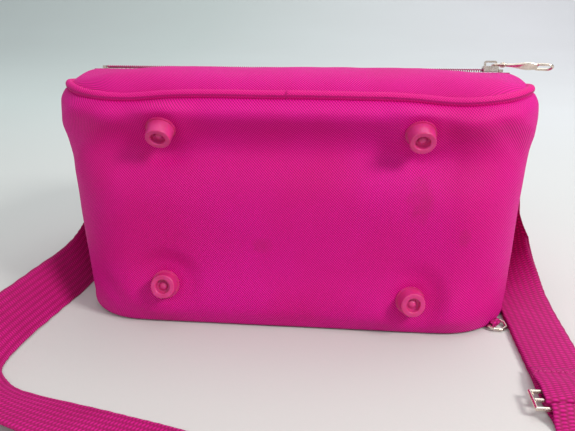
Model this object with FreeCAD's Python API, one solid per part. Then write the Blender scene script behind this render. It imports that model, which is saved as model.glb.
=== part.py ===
import FreeCAD, Part
import math
import os

# A padded, zipped beach bag with a webbing shoulder strap, lying on its back panel.
# Frame: millimetres, +Z up, origin at the middle of the back panel's outer face.
# The base with its feet faces -Y, the zipped top faces +Y, and the front panel is uppermost.

V = FreeCAD.Vector

# Bag body
FRONT_WIDTH = 336.0
BACK_WIDTH = 324.0
STANDING_HEIGHT = 240.0
BASE_DEPTH = 166.0
TOP_DEPTH = 132.0
CORNER_RADIUS = 52.0
WALL = 5.0
BACK_WALL = 6.0
TOP_STRIP_FROM_END = 30.0
BACK_TUCK = 6.0
SEAM_GAP = 0.2
BASE_Y = -STANDING_HEIGHT / 2
TOP_Y = STANDING_HEIGHT / 2
FRONT_SLOPE = math.degrees(math.atan2(BASE_DEPTH - TOP_DEPTH, STANDING_HEIGHT))
FRONT_LENGTH = math.hypot(STANDING_HEIGHT, BASE_DEPTH - TOP_DEPTH)

# Padded front panel: inset from the seam and height above it, from rim to crown
CROWN = 20.0
CUSHION_RINGS = [(3.2, 0.0), (4.5, 0.45 * CROWN), (8.0, 0.83 * CROWN), (14.0, CROWN)]
PADDING = 5.0
DIVIDER_THICKNESS = 2.0

# Piping and inner base board
PIPING_RADIUS = 3.0
BOARD_THICKNESS = 2.0
BOARD_MARGIN = 12.0
BOARD_HALF_WIDTH = BACK_WIDTH / 2 - CORNER_RADIUS - 2

# Feet on the base: place on the base and the way each one leans
FOOT_SIDE = 86.5
FOOT_UPPER_Z = 143.0
FOOT_LOWER_Z = 29.0
FOOT_FLANGE_RADIUS = 10.0
FOOT_FLANGE_THICKNESS = 1.6
FOOT_ROOT_RADIUS = 9.3
FOOT_TIP_RADIUS = 8.4
FOOT_HEIGHT = 11.0
FOOT_RECESS_RADIUS = 4.9
FOOT_RECESS_DEPTH = 3.4
RIVET_HEAD_RADIUS = 3.3
RIVET_HEAD_HEIGHT = 1.6
RIVET_SHANK_RADIUS = 1.6
WASHER_RADIUS = 6.5
WASHER_THICKNESS = 1.0
FEET = {
    "foot_upper_left": (-FOOT_SIDE + 2.0, FOOT_UPPER_Z + 1.5, V(0.0, -0.82, -0.57)),
    "foot_upper_right": (FOOT_SIDE, FOOT_UPPER_Z + 1.0, V(0.07, -0.90, -0.42)),
    "foot_lower_left": (-FOOT_SIDE - 0.8, FOOT_LOWER_Z + 2.5, V(0.05, -0.97, 0.21)),
    "foot_lower_right": (FOOT_SIDE - 1.0, FOOT_LOWER_Z - 2.0, V(0.17, -0.98, 0.07)),
}

# Zips
TAPE_WIDTH = 12.0
TAPE_THICKNESS = 1.0
TAPE_GAP = 1.4
COIL_WIDTH = 5.4
COIL_HEIGHT = 2.4
POCKET_ZIP_HALF = 152.0
POCKET_ZIP_FROM_BASE = 75.0
MAIN_ZIP_HALF = 112.0
MAIN_ZIP_Z = 66.0
STOP_LENGTH = 3.0

# Slider, its link and its puller
SLIDER_LENGTH = 11.0
SLIDER_WIDTH = 9.4
SLIDER_PLATE = 1.5
RUNNING_GAP = 0.3
BAIL_WIDTH = 2.2
BAIL_HEIGHT = 3.9
BAIL_BAR = 1.3
LINK_WIRE = 0.75
LINK_LENGTH = 6.5
LINK_HALF_WIDTH = 3.9
BARREL_RADIUS = 1.9
BARREL_BORE = 0.83
BARREL_HALF_WIDTH = 2.7
PULLER_LENGTH = 36.0
PULLER_THICKNESS = 2.0
PULLER_NECK = 2.4
PULLER_BELLY = 5.4
PULLER_END_RADIUS = 4.8
PULLER_LOOP_HALF = 5.0
PULLER_LOOP_RADIUS = 2.9
POCKET_PULLER_DROOP = 2.4

# Shoulder strap hardware
STRAP_WIDTH = 38.0
STRAP_THICKNESS = 2.0
RING_WIRE = 2.0
RING_INNER_LENGTH = 40.0
RING_REACH = 18.0
LOOP_BORE = 2.3
SIDE_TAB_LENGTH = 26.0
SIDE_TAB_Y = 62.0
SIDE_TAB_Z = 68.0
SIDE_TAB_X = 166.4
ADJUSTER_Y = -204.0
ADJUSTER_Z = 6.2
ADJUSTER_X = 176.5
ADJUSTER_WIRE = 1.3
ADJUSTER_MIDDLE_WIRE = 1.15
ADJUSTER_HALF_LENGTH = 25.0
ADJUSTER_BAR_PITCH = 9.0
SEWN_END_LENGTH = 38.0

# Small ring at the lower right corner of the base
CORNER_RING_WIRE = 1.1
CORNER_RING_HALF = 7.0
CORNER_RING_DEPTH = 8.0
CORNER_RING_ANGLE = -40.0
CORNER_TAB_WIDTH = 11.0
CORNER_TAB_LENGTH = 14.0
CORNER_TAB_THICKNESS = 1.4

# The strap's route, from the right ring round the front to the left ring:
# the strap's centre, then the way its outer edge points.
STRAP_ROUTE = [
    (V(178.4, 21.8, 68.0), V(0.0, 0.0, 1.0)),
    (V(178.6, 12.0, 68.0), V(0.0, 0.0, 1.0)),
    (V(179.2, -2.0, 56.0), V(0.15, 0.0, 1.0)),
    (V(180.6, -17.0, 35.0), V(0.5, 0.0, 0.8)),
    (V(183.2, -36.0, 13.0), V(0.85, 0.0, 0.5)),
    (V(179.6, -60.0, 3.2), V(1.0, 0.0, 0.1)),
    (V(176.8, -90.0, 1.2), V(1.0, 0.0, 0.0)),
    (V(176.7, -125.0, 1.2), V(1.0, 0.0, 0.0)),
    (V(176.8, -160.0, 1.2), V(1.0, 0.0, 0.0)),
    (V(177.0, -190.0, 1.2), V(1.0, 0.0, 0.0)),
    (V(178.0, -217.0, 1.2), V(1.0, 0.08, 0.0)),
    (V(183.0, -238.0, 2.0), V(1.0, 0.25, 0.03)),
    (V(194.0, -263.0, 10.5), V(0.85, 0.3, 0.5)),
    (V(206.0, -288.0, 19.6), V(0.25, 0.1, 1.0)),
    (V(205.0, -318.0, 20.4), V(0.05, -0.05, 1.0)),
    (V(183.0, -341.0, 20.4), V(0.0, -0.05, 1.0)),
    (V(150.0, -344.0, 19.4), V(0.0, -0.3, 0.95)),
    (V(120.0, -331.0, 12.8), V(-0.1, -0.8, 0.6)),
    (V(90.0, -314.0, 3.6), V(-0.25, -1.0, 0.12)),
    (V(50.0, -297.0, 1.2), V(-0.3, -0.95, 0.0)),
    (V(0.0, -279.0, 1.2), V(-0.27, -0.96, 0.0)),
    (V(-51.0, -263.0, 1.2), V(-0.26, -0.97, 0.0)),
    (V(-96.0, -251.0, 1.2), V(-0.26, -0.97, 0.0)),
    (V(-132.0, -241.0, 3.6), V(-0.3, -0.95, 0.12)),
    (V(-158.0, -230.0, 7.4), V(-0.45, -0.8, 0.3)),
    (V(-176.0, -217.0, 11.8), V(-0.7, -0.5, 0.55)),
    (V(-188.0, -200.0, 15.4), V(-0.68, -0.2, 0.75)),
    (V(-193.0, -176.0, 16.9), V(-0.55, 0.0, 0.83)),
    (V(-193.5, -142.0, 17.0), V(-0.54, 0.0, 0.84)),
    (V(-192.5, -104.0, 17.4), V(-0.5, 0.0, 0.86)),
    (V(-190.5, -66.0, 18.2), V(-0.4, 0.0, 0.9)),
    (V(-188.0, -32.0, 20.2), V(-0.2, 0.0, 1.0)),
    (V(-185.0, -12.0, 33.0), V(-0.05, 0.0, 1.0)),
    (V(-181.0, 0.0, 55.0), V(0.0, 0.0, 1.0)),
    (V(-178.6, 12.0, 68.0), V(0.0, 0.0, 1.0)),
    (V(-178.4, 21.8, 68.0), V(0.0, 0.0, 1.0)),
]
# The second layer, from the right ring back to the adjuster, lies on the first.
DOUBLED_ROUTE = [
    (V(171.8, 21.8, 68.0), V(0.0, 0.0, 1.0)),
    (V(172.2, 12.0, 68.0), V(0.0, 0.0, 1.0)),
    (V(174.4, -3.8, 57.4), V(0.15, 0.0, 1.0)),
    (V(178.8, -18.8, 36.8), V(0.5, 0.0, 0.8)),
    (V(182.2, -37.8, 16.2), V(0.85, 0.0, 0.5)),
    (V(180.4, -61.0, 5.8), V(1.0, 0.0, 0.1)),
    (V(176.9, -90.0, 3.7), V(1.0, 0.0, 0.0)),
    (V(176.8, -125.0, 3.5), V(1.0, 0.0, 0.0)),
    (V(176.9, -160.0, 3.5), V(1.0, 0.0, 0.0)),
    (V(177.0, -195.0, 3.5), V(1.0, 0.0, 0.0)),
]
SECTIONS_PER_POINT = 2

os.makedirs("parts", exist_ok=True)
pieces = {}


# ---- Shared shapes ----

def outline(half_width, near, far, radius, z):
    """Closed rectangle with round corners, flat at height z."""
    c = radius * (1 - math.sqrt(0.5))
    corners = [
        (V(-half_width + radius, near, z), V(half_width - radius, near, z),
         V(half_width - c, near + c, z), V(half_width, near + radius, z)),
        (V(half_width, near + radius, z), V(half_width, far - radius, z),
         V(half_width - c, far - c, z), V(half_width - radius, far, z)),
        (V(half_width - radius, far, z), V(-half_width + radius, far, z),
         V(-half_width + c, far - c, z), V(-half_width, far - radius, z)),
        (V(-half_width, far - radius, z), V(-half_width, near + radius, z),
         V(-half_width + c, near + c, z), V(-half_width + radius, near, z)),
    ]
    edges = []
    for start, end, middle, after in corners:
        edges.append(Part.LineSegment(start, end).toShape())
        edges.append(Part.Arc(end, middle, after).toShape())
    return Part.Wire(edges)


def rod(start, end, radius):
    """Round bar between two points."""
    along = end - start
    return Part.makeCylinder(radius, along.Length, start, along)


def wire_loop(corners, radius):
    """Closed loop of round wire through its corners, with ball-shaped corners."""
    loop = None
    for start, end in zip(corners, corners[1:] + corners[:1]):
        side = rod(start, end, radius).fuse(Part.makeSphere(radius, start))
        loop = side if loop is None else loop.fuse(side)
    return loop.removeSplitter()


def block(x0, x1, y0, y1, z0, z1):
    """Box between two corners."""
    return Part.makeBox(x1 - x0, y1 - y0, z1 - z0, V(x0, y0, z0))


def save(node, shape):
    """Write one piece to its own file."""
    shape.exportStep("parts/" + node + ".step")
    pieces[node] = shape


# ---- Body shells ----

def body_block(inset, low):
    """The bag's tapering outside, moved in by inset, from height low up past the front seam."""
    radius = CORNER_RADIUS - inset
    slant = (FRONT_WIDTH - BACK_WIDTH) / 2
    bottom = outline(BACK_WIDTH / 2 - inset, BASE_Y + inset, TOP_Y - inset, radius, low)
    top = outline(BACK_WIDTH / 2 + slant - inset, BASE_Y + inset, TOP_Y - inset, radius, BASE_DEPTH)
    return Part.makeLoft([bottom, top], True, True)


front_place = FreeCAD.Placement(V(0, BASE_Y, BASE_DEPTH), FreeCAD.Rotation(V(1, 0, 0), -FRONT_SLOPE))


def on_front(shape):
    """Move a shape from the front panel's own plane, y from the base edge, into the frame."""
    moved = shape.copy()
    moved.Placement = front_place.multiply(moved.Placement)
    return moved


above_front = on_front(block(-400, 400, -200, 600, -SEAM_GAP, 400))
shell = body_block(0, BACK_WALL + SEAM_GAP).cut(body_block(WALL, BACK_WALL - 5)).cut(above_front)
piping_path = on_front(outline(FRONT_WIDTH / 2, 0, FRONT_LENGTH, CORNER_RADIUS, 0))
piping_start = piping_path.Vertexes[0].Point
piping_end_face = Part.Wire(Part.makeCircle(PIPING_RADIUS, piping_start, V(1, 0, 0)))
piping = piping_path.makePipeShell([piping_end_face], True, False)

top_strip_y = TOP_Y - TOP_STRIP_FROM_END
side_and_base = shell.common(block(-300, 300, -300, top_strip_y, -10, 400)).cut(piping)
zip_slot_half = TAPE_WIDTH + TAPE_GAP / 2
main_zip_slot = block(-MAIN_ZIP_HALF, MAIN_ZIP_HALF, TOP_Y - 2 * WALL, TOP_Y + WALL,
                      MAIN_ZIP_Z - zip_slot_half, MAIN_ZIP_Z + zip_slot_half)
top_strip = shell.common(block(-300, 300, top_strip_y + SEAM_GAP, 300, -10, 400)).cut(piping)
top_front = top_strip.common(block(-300, 300, 0, 300, MAIN_ZIP_Z + SEAM_GAP, 400)).cut(main_zip_slot)
top_back = top_strip.common(block(-300, 300, 0, 300, -10, MAIN_ZIP_Z)).cut(main_zip_slot)
back_rim = outline(BACK_WIDTH / 2 - BACK_TUCK, BASE_Y + BACK_TUCK, TOP_Y - BACK_TUCK, CORNER_RADIUS - BACK_TUCK, 0)
back_panel = Part.Face(back_rim).extrude(V(0, 0, BACK_WALL))


# ---- Padded front panel in two halves, and the pocket's inner wall ----

def cushion(shrink, drop):
    """Crowned pad over the front seam line."""
    rings = []
    for inset, height in CUSHION_RINGS:
        reach = inset + shrink
        z = max(height - drop, 0) if height else -drop
        rings.append(outline(FRONT_WIDTH / 2 - reach, reach, FRONT_LENGTH - reach,
                             CORNER_RADIUS - reach, z))
    return Part.makeLoft(rings, True, False)


pad = cushion(0, 0).cut(cushion(PADDING, PADDING / 2))
zip_from = POCKET_ZIP_FROM_BASE - zip_slot_half
zip_to = POCKET_ZIP_FROM_BASE + zip_slot_half
front_lower = on_front(pad.common(block(-300, 300, -10, zip_from, -1, 100))).cut(piping)
front_upper = on_front(pad.common(block(-300, 300, zip_to, 400, -1, 100))).cut(piping)
zip_ends = pad.common(block(-300, 300, zip_from + SEAM_GAP, zip_to - SEAM_GAP, -1, 100))
zip_ends = zip_ends.cut(block(-POCKET_ZIP_HALF, POCKET_ZIP_HALF, 0, 300, -1, 100))
front_ends = on_front(zip_ends).cut(piping)
divider_rim = outline(FRONT_WIDTH / 2 - WALL - 2, WALL + 2, FRONT_LENGTH - WALL - 2,
                      CORNER_RADIUS - WALL - 2, -DIVIDER_THICKNESS - SEAM_GAP)
divider = on_front(Part.Face(divider_rim).extrude(V(0, 0, DIVIDER_THICKNESS)))

save("base_board", block(-BOARD_HALF_WIDTH, BOARD_HALF_WIDTH,
                         BASE_Y + WALL + SEAM_GAP, BASE_Y + WALL + SEAM_GAP + BOARD_THICKNESS,
                         BACK_WALL + BOARD_MARGIN, BASE_DEPTH - BOARD_MARGIN))


# ---- Feet, each riveted through the base and the board ----

def foot_parts(x, z, lean):
    """Foot, rivet and washer about the foot's own axis, then leaned and placed."""
    body = Part.makeCone(FOOT_ROOT_RADIUS, FOOT_TIP_RADIUS, FOOT_HEIGHT)
    flange = Part.makeCylinder(FOOT_FLANGE_RADIUS, FOOT_FLANGE_THICKNESS)
    recess = Part.makeCylinder(FOOT_RECESS_RADIUS, FOOT_RECESS_DEPTH, V(0, 0, FOOT_HEIGHT - FOOT_RECESS_DEPTH))
    bore = Part.makeCylinder(RIVET_SHANK_RADIUS, FOOT_HEIGHT)
    foot = body.fuse(flange).cut(recess).cut(bore)
    tip_rim = [e for e in foot.Edges if abs(e.BoundBox.ZMin - FOOT_HEIGHT) < 0.01]
    foot = foot.makeFillet(0.8, tip_rim)
    floor = FOOT_HEIGHT - FOOT_RECESS_DEPTH
    shank = Part.makeCylinder(RIVET_SHANK_RADIUS, floor + WALL + BOARD_THICKNESS, V(0, 0, -WALL - BOARD_THICKNESS))
    dome_radius = (RIVET_HEAD_RADIUS ** 2 + RIVET_HEAD_HEIGHT ** 2) / (2 * RIVET_HEAD_HEIGHT)
    dome = Part.makeSphere(dome_radius, V(0, 0, floor + RIVET_HEAD_HEIGHT - dome_radius))
    head = dome.common(Part.makeCylinder(RIVET_HEAD_RADIUS, RIVET_HEAD_HEIGHT, V(0, 0, floor)))
    inner = -WALL - BOARD_THICKNESS - 3 * SEAM_GAP - WASHER_THICKNESS - 2.0
    washer = Part.makeCylinder(WASHER_RADIUS, WASHER_THICKNESS, V(0, 0, inner))
    washer = washer.cut(Part.makeCylinder(RIVET_SHANK_RADIUS, WASHER_THICKNESS, V(0, 0, inner)))
    rivet = head.fuse(shank).fuse(Part.makeCylinder(RIVET_SHANK_RADIUS, -inner, V(0, 0, inner)))
    place = FreeCAD.Placement(V(x, BASE_Y + 0.5, z), FreeCAD.Rotation(V(0, 0, 1), lean))
    placed = []
    for shape in (foot, rivet, washer):
        shape.Placement = place
        placed.append(shape)
    return placed


feet = {}
rivets = []
washers = []
for node, (x, z, lean) in FEET.items():
    foot, rivet, washer = foot_parts(x, z, lean)
    feet[node] = foot
    rivets.append(rivet)
    washers.append(washer)
    side_and_base = side_and_base.cut(foot).cut(rivet)
    pieces["base_board"] = pieces["base_board"].cut(foot).cut(rivet).cut(washer)
save("base_board", pieces["base_board"])
for node, foot in feet.items():
    save(node, foot)
save("foot_rivets", Part.makeCompound(rivets))
save("foot_washers", Part.makeCompound([washer.cut(pieces["base_board"]).cut(side_and_base) for washer in washers]))
save("base_and_sides", side_and_base)
save("front_panel_lower", front_lower)
save("front_panel_upper", front_upper)
save("front_panel_zip_ends", front_ends)
save("pocket_inner_wall", divider)
save("top_strip_front", top_front)
save("top_strip_back", top_back)
save("front_piping", piping)


# ---- Zips: along X, lying in the plane z = 0, pulled shut towards +X ----

def zip_parts(half):
    """Two tapes, the closed coil on them, and a stop at each end."""
    tapes = {}
    for name, near in (("lower", -zip_slot_half), ("upper", TAPE_GAP / 2)):
        tapes[name] = block(-half + SEAM_GAP, half - SEAM_GAP, near + SEAM_GAP,
                            near + TAPE_WIDTH - SEAM_GAP, -TAPE_THICKNESS, 0)
    coil = block(-half + 2 * STOP_LENGTH, half - 2 * STOP_LENGTH, -COIL_WIDTH / 2, COIL_WIDTH / 2, 0, COIL_HEIGHT)
    coil = coil.makeFillet(0.9, [e for e in coil.Edges if e.BoundBox.ZMin > COIL_HEIGHT - 0.1])
    stops = []
    for side in (-1, 1):
        x = side * (half - 1.5 * STOP_LENGTH)
        stops.append(block(x - STOP_LENGTH / 2, x + STOP_LENGTH / 2 - SEAM_GAP,
                           -COIL_WIDTH / 2 - 0.4, COIL_WIDTH / 2 + 0.4, 0, COIL_HEIGHT - 0.4))
    return tapes["lower"], tapes["upper"], coil, Part.makeCompound(stops)


def slider_parts(x, droop):
    """Slider over the coil with its bail, the wire link, and the puller, lying towards +X."""
    inside = COIL_HEIGHT + RUNNING_GAP
    top = inside + SLIDER_PLATE
    body = block(x - SLIDER_LENGTH / 2, x + SLIDER_LENGTH / 2, -SLIDER_WIDTH / 2, SLIDER_WIDTH / 2, RUNNING_GAP, top)
    body = body.makeFillet(1.6, [e for e in body.Edges if abs(e.tangentAt(e.FirstParameter).z) > 0.9])
    body = body.cut(block(x - SLIDER_LENGTH, x + SLIDER_LENGTH, -COIL_WIDTH / 2 - RUNNING_GAP,
                          COIL_WIDTH / 2 + RUNNING_GAP, 0, inside))
    bail = block(x - SLIDER_LENGTH / 2 + 1, x + SLIDER_LENGTH / 2 - 1, -BAIL_WIDTH / 2, BAIL_WIDTH / 2,
                 top - 0.2, top + BAIL_HEIGHT)
    bail = bail.makeFillet(1.5, [e for e in bail.Edges if e.BoundBox.ZMin > top + BAIL_HEIGHT - 0.1
                                 and e.BoundBox.YLength > 1])
    window = block(x - SLIDER_LENGTH / 2 + 1 + BAIL_BAR, x + SLIDER_LENGTH / 2 - 1 - BAIL_BAR, -BAIL_WIDTH, BAIL_WIDTH,
                   top, top + BAIL_HEIGHT - BAIL_BAR)
    slider = body.fuse(bail.cut(window))
    hinge = V(x + SLIDER_LENGTH / 2 - 1 - BAIL_BAR - LINK_WIRE - RUNNING_GAP, 0, top + LINK_WIRE + RUNNING_GAP)
    far = hinge + V(LINK_LENGTH, 0, 0)
    side = V(0, LINK_HALF_WIDTH, 0)
    link = wire_loop([hinge - side, far - side, far + side, hinge + side], LINK_WIRE)
    pull = puller(far)
    pull.rotate(far, V(0, 1, 0), droop)
    return slider, link, pull, hinge, far


def puller(at):
    """Leaf-shaped puller on a barrel, with an oblong loop at its far end."""
    barrel = Part.makeCylinder(BARREL_RADIUS, 2 * BARREL_HALF_WIDTH, at - V(0, BARREL_HALF_WIDTH, 0), V(0, 1, 0))
    low = at.z - PULLER_THICKNESS / 2
    neck = at.x + 0.5 * BARREL_RADIUS
    belly = at.x + 0.42 * PULLER_LENGTH
    waist = at.x + 0.62 * PULLER_LENGTH
    end = at.x + PULLER_LENGTH - PULLER_END_RADIUS
    half = []
    for sign in (1, -1):
        half.append(Part.BSplineCurve())
        half[-1].interpolate([V(neck, sign * PULLER_NECK, low), V(belly, sign * PULLER_BELLY, low),
                              V(waist, sign * (PULLER_BELLY - 0.9), low), V(end, sign * PULLER_END_RADIUS, low)])
    tip = Part.Arc(V(end, PULLER_END_RADIUS, low), V(end + PULLER_END_RADIUS, 0, low), V(end, -PULLER_END_RADIUS, low))
    root = Part.LineSegment(V(neck, -PULLER_NECK, low), V(neck, PULLER_NECK, low))
    rim = Part.Wire([half[0].toShape(), tip.toShape(), half[1].toShape(), root.toShape()])
    plate = Part.Face(rim).extrude(V(0, 0, PULLER_THICKNESS))
    plate = plate.makeFillet(0.7, [e for e in plate.Edges if e.BoundBox.ZLength < 0.1 and e.BoundBox.XMax > belly])
    loop_centre = end - PULLER_LOOP_HALF + PULLER_LOOP_RADIUS
    loop = block(loop_centre - PULLER_LOOP_HALF + PULLER_LOOP_RADIUS, end, -PULLER_LOOP_RADIUS,
                 PULLER_LOOP_RADIUS, low - 1, low + PULLER_THICKNESS + 1)
    for x in (loop_centre - PULLER_LOOP_HALF + PULLER_LOOP_RADIUS, end):
        loop = loop.fuse(Part.makeCylinder(PULLER_LOOP_RADIUS, PULLER_THICKNESS + 2, V(x, 0, low - 1)))
    bore = Part.makeCylinder(BARREL_BORE, 4 * BARREL_HALF_WIDTH, at - V(0, 2 * BARREL_HALF_WIDTH, 0), V(0, 1, 0))
    return barrel.fuse(plate).cut(loop).cut(bore)


pocket_zip_place = front_place.multiply(FreeCAD.Placement(V(0, POCKET_ZIP_FROM_BASE, CROWN), FreeCAD.Rotation()))
main_zip_place = FreeCAD.Placement(V(0, TOP_Y, MAIN_ZIP_Z), FreeCAD.Rotation(V(1, 0, 0), -90))
ZIPS = {
    "pocket": (pocket_zip_place, POCKET_ZIP_HALF, POCKET_PULLER_DROOP),
    "main": (main_zip_place, MAIN_ZIP_HALF, 0.0),
}
for name, (place, half, droop) in ZIPS.items():
    lower, upper, coil, stops = zip_parts(half)
    slider_x = half - 2 * STOP_LENGTH - SLIDER_LENGTH / 2 - RUNNING_GAP
    slider, link, pull, hinge, far = slider_parts(slider_x, droop)
    shapes = {"zip_tape_lower": lower, "zip_tape_upper": upper, "zip_coil": coil, "zip_stops": stops,
              "zip_slider": slider, "zip_link": link, "zip_puller": pull}
    for kind, shape in shapes.items():
        shape.Placement = place.multiply(shape.Placement)
        save(name + "_" + kind, shape)
    print(name, "link hinge", place.multVec(hinge), "puller hinge", place.multVec(far))


# ---- Side tabs and rings, and the strap's turns on the rings ----

def sewn_loop(centre, tail, width, bore):
    """Webbing wrapped round an upright bar, with its two layers running on as a tail."""
    half = V(0, 0, width / 2)
    outer = bore + STRAP_THICKNESS
    loop = Part.makeCylinder(outer, width, centre - half)
    loop = loop.fuse(tail)
    return loop.cut(Part.makeCylinder(bore, width + 2, centre - half - V(0, 0, 1)))


outer_loop = LOOP_BORE + STRAP_THICKNESS
for side, name in ((-1, "left"), (1, "right")):
    bar = V(side * (SIDE_TAB_X + outer_loop), SIDE_TAB_Y - SIDE_TAB_LENGTH / 2, SIDE_TAB_Z)
    near, far = sorted((side * SIDE_TAB_X, side * (SIDE_TAB_X + STRAP_THICKNESS)))
    tail = block(near, far, bar.y, SIDE_TAB_Y + SIDE_TAB_LENGTH / 2,
                 SIDE_TAB_Z - STRAP_WIDTH / 2, SIDE_TAB_Z + STRAP_WIDTH / 2)
    save("side_tab_" + name, sewn_loop(bar, tail, STRAP_WIDTH, LOOP_BORE))
    reach = V(side * 0.25, -1, 0).normalize() * RING_REACH
    rise = V(0, 0, RING_INNER_LENGTH / 2 + RING_WIRE)
    save("side_ring_" + name, wire_loop([bar - rise, bar + reach - rise, bar + reach + rise, bar + rise], RING_WIRE))
    strap_bar = bar + reach
    end = 9.0
    near, far = sorted((strap_bar.x - side * outer_loop, strap_bar.x + side * (STRAP_THICKNESS - outer_loop)))
    tail = block(near, far, strap_bar.y - end, strap_bar.y, SIDE_TAB_Z - STRAP_WIDTH / 2, SIDE_TAB_Z + STRAP_WIDTH / 2)
    if side > 0:
        near, far = sorted((strap_bar.x + side * outer_loop, strap_bar.x + side * (outer_loop - STRAP_THICKNESS)))
        tail = tail.fuse(block(near, far, strap_bar.y - end, strap_bar.y,
                               SIDE_TAB_Z - STRAP_WIDTH / 2, SIDE_TAB_Z + STRAP_WIDTH / 2))
    save("strap_turn_" + name, sewn_loop(strap_bar, tail, STRAP_WIDTH, LOOP_BORE))
    print(name, "ring bar", bar, "strap bar", strap_bar, "turn ends at y", strap_bar.y - end)


# ---- Adjuster: a wire frame with a middle bar, and the strap's sewn end round that bar ----

frame_corners = [V(ADJUSTER_X + sx * ADJUSTER_HALF_LENGTH, ADJUSTER_Y + sy * ADJUSTER_BAR_PITCH, ADJUSTER_Z)
                 for sx, sy in ((-1, -1), (1, -1), (1, 1), (-1, 1))]
middle_start = V(ADJUSTER_X - ADJUSTER_HALF_LENGTH, ADJUSTER_Y, ADJUSTER_Z)
middle_end = V(ADJUSTER_X + ADJUSTER_HALF_LENGTH, ADJUSTER_Y, ADJUSTER_Z)
adjuster = wire_loop(frame_corners, ADJUSTER_WIRE).fuse(rod(middle_start, middle_end, ADJUSTER_MIDDLE_WIRE))
save("strap_adjuster", adjuster)
end_bore = ADJUSTER_WIRE + 0.1
end_outer = end_bore + STRAP_THICKNESS
half_strap = STRAP_WIDTH / 2
profile_far = ADJUSTER_Y + SEWN_END_LENGTH
top_here = ADJUSTER_Z + end_outer
top_far = 4.6 + STRAP_THICKNESS
side_view = Part.makePolygon([
    V(ADJUSTER_X - half_strap, ADJUSTER_Y, top_here), V(ADJUSTER_X - half_strap, ADJUSTER_Y + 12, top_here),
    V(ADJUSTER_X - half_strap, profile_far, top_far), V(ADJUSTER_X - half_strap, profile_far, top_far - STRAP_THICKNESS),
    V(ADJUSTER_X - half_strap, ADJUSTER_Y + 12, top_here - STRAP_THICKNESS),
    V(ADJUSTER_X - half_strap, ADJUSTER_Y, top_here - STRAP_THICKNESS),
    V(ADJUSTER_X - half_strap, ADJUSTER_Y, top_here)])
sewn_top = Part.Face(side_view).extrude(V(STRAP_WIDTH, 0, 0))
wrap = rod(V(ADJUSTER_X - half_strap, ADJUSTER_Y, ADJUSTER_Z), V(ADJUSTER_X + half_strap, ADJUSTER_Y, ADJUSTER_Z), end_outer)
sewn_end = wrap.fuse(sewn_top).cut(rod(middle_start, middle_end, end_bore))
save("strap_sewn_end", sewn_end)


# ---- The strap: flat webbing lofted through its route ----

def ribbon(route, node):
    """Flat webbing along a smooth curve whose poles are the route's points."""
    centre = Part.BSplineCurve()
    centre.buildFromPoles([point for point, out in route], False, 2)
    edge = Part.BSplineCurve()
    edge.buildFromPoles([point + V(out).normalize() * (STRAP_WIDTH / 2) for point, out in route], False, 2)
    count = SECTIONS_PER_POINT * len(route)
    sections = []
    length = 0.0
    last = None
    tightest = 1e9
    for i in range(count + 1):
        at = centre.FirstParameter + (centre.LastParameter - centre.FirstParameter) * i / count
        point = centre.value(at)
        along = centre.tangent(at)[0]
        out = edge.value(at) - point
        out = (out - along * out.dot(along)).normalize() * (STRAP_WIDTH / 2)
        up = out.cross(along).normalize() * (STRAP_THICKNESS / 2)
        corners = [point + out + up, point - out + up, point - out - up, point + out - up]
        sections.append(Part.makePolygon(corners + corners[:1]))
        bend = centre.curvature(at)
        if bend > 1e-6:
            tightest = min(tightest, 1 / bend)
        if last is not None:
            length += (point - last).Length
        last = point
    strap = Part.makeLoft(sections, True, True)
    print(node, "length", round(length, 1), "volume ratio",
          round(strap.Volume / (length * STRAP_WIDTH * STRAP_THICKNESS), 3),
          "tightest radius", round(tightest, 1), "lowest", round(strap.BoundBox.ZMin, 2), strap.isValid())
    save(node, strap)


ribbon(STRAP_ROUTE, "strap_long_run")
ribbon(DOUBLED_ROUTE, "strap_doubled_run")


# ---- Small wire ring held in a tab at the lower right corner of the base ----

outwards = V(math.cos(math.radians(CORNER_RING_ANGLE)), math.sin(math.radians(CORNER_RING_ANGLE)), 0)
across = V(-outwards.y, outwards.x, 0)
corner_centre = V(BACK_WIDTH / 2 - CORNER_RADIUS, BASE_Y + CORNER_RADIUS, 0)
corner_loop = CORNER_RING_WIRE + RUNNING_GAP + CORNER_TAB_THICKNESS
tab_bar = corner_centre + outwards * (CORNER_RADIUS - 2.0) + V(0, 0, corner_loop + 0.1)
ring_corners = []
for side, reach in ((-1.0, 0.0), (-1.0, 0.5), (-0.45, 1.0), (0.45, 1.0), (1.0, 0.5), (1.0, 0.0)):
    ring_corners.append(tab_bar + across * (side * CORNER_RING_HALF) + outwards * (reach * CORNER_RING_DEPTH)
                        - V(0, 0, 1.2 * reach))
save("corner_ring", wire_loop(ring_corners, CORNER_RING_WIRE))
tab_half = across * (CORNER_TAB_WIDTH / 2)
tab = rod(tab_bar - tab_half, tab_bar + tab_half, corner_loop)
inner = tab_bar - outwards * CORNER_TAB_LENGTH
tab_rim = Part.makePolygon([tab_bar - tab_half, tab_bar + tab_half, inner + tab_half, inner - tab_half, tab_bar - tab_half])
tab_flat = Part.Face(tab_rim).extrude(V(0, 0, -CORNER_TAB_THICKNESS))
tab = tab.fuse(tab_flat).cut(rod(tab_bar - across * 20, tab_bar + across * 20, CORNER_RING_WIRE + RUNNING_GAP))
save("corner_tab", tab)
save("back_panel", back_panel.cut(tab))
print("corner ring bar", tab_bar, "axis", across)

for node, shape in pieces.items():
    box = shape.BoundBox
    print(node, len(shape.Solids), shape.isValid(), round(shape.Volume / 1000, 2), "cm3",
          [round(v, 1) for v in (box.XMin, box.YMin, box.ZMin, box.XMax, box.YMax, box.ZMax)])
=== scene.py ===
import math

import bpy
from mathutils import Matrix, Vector, noise


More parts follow.
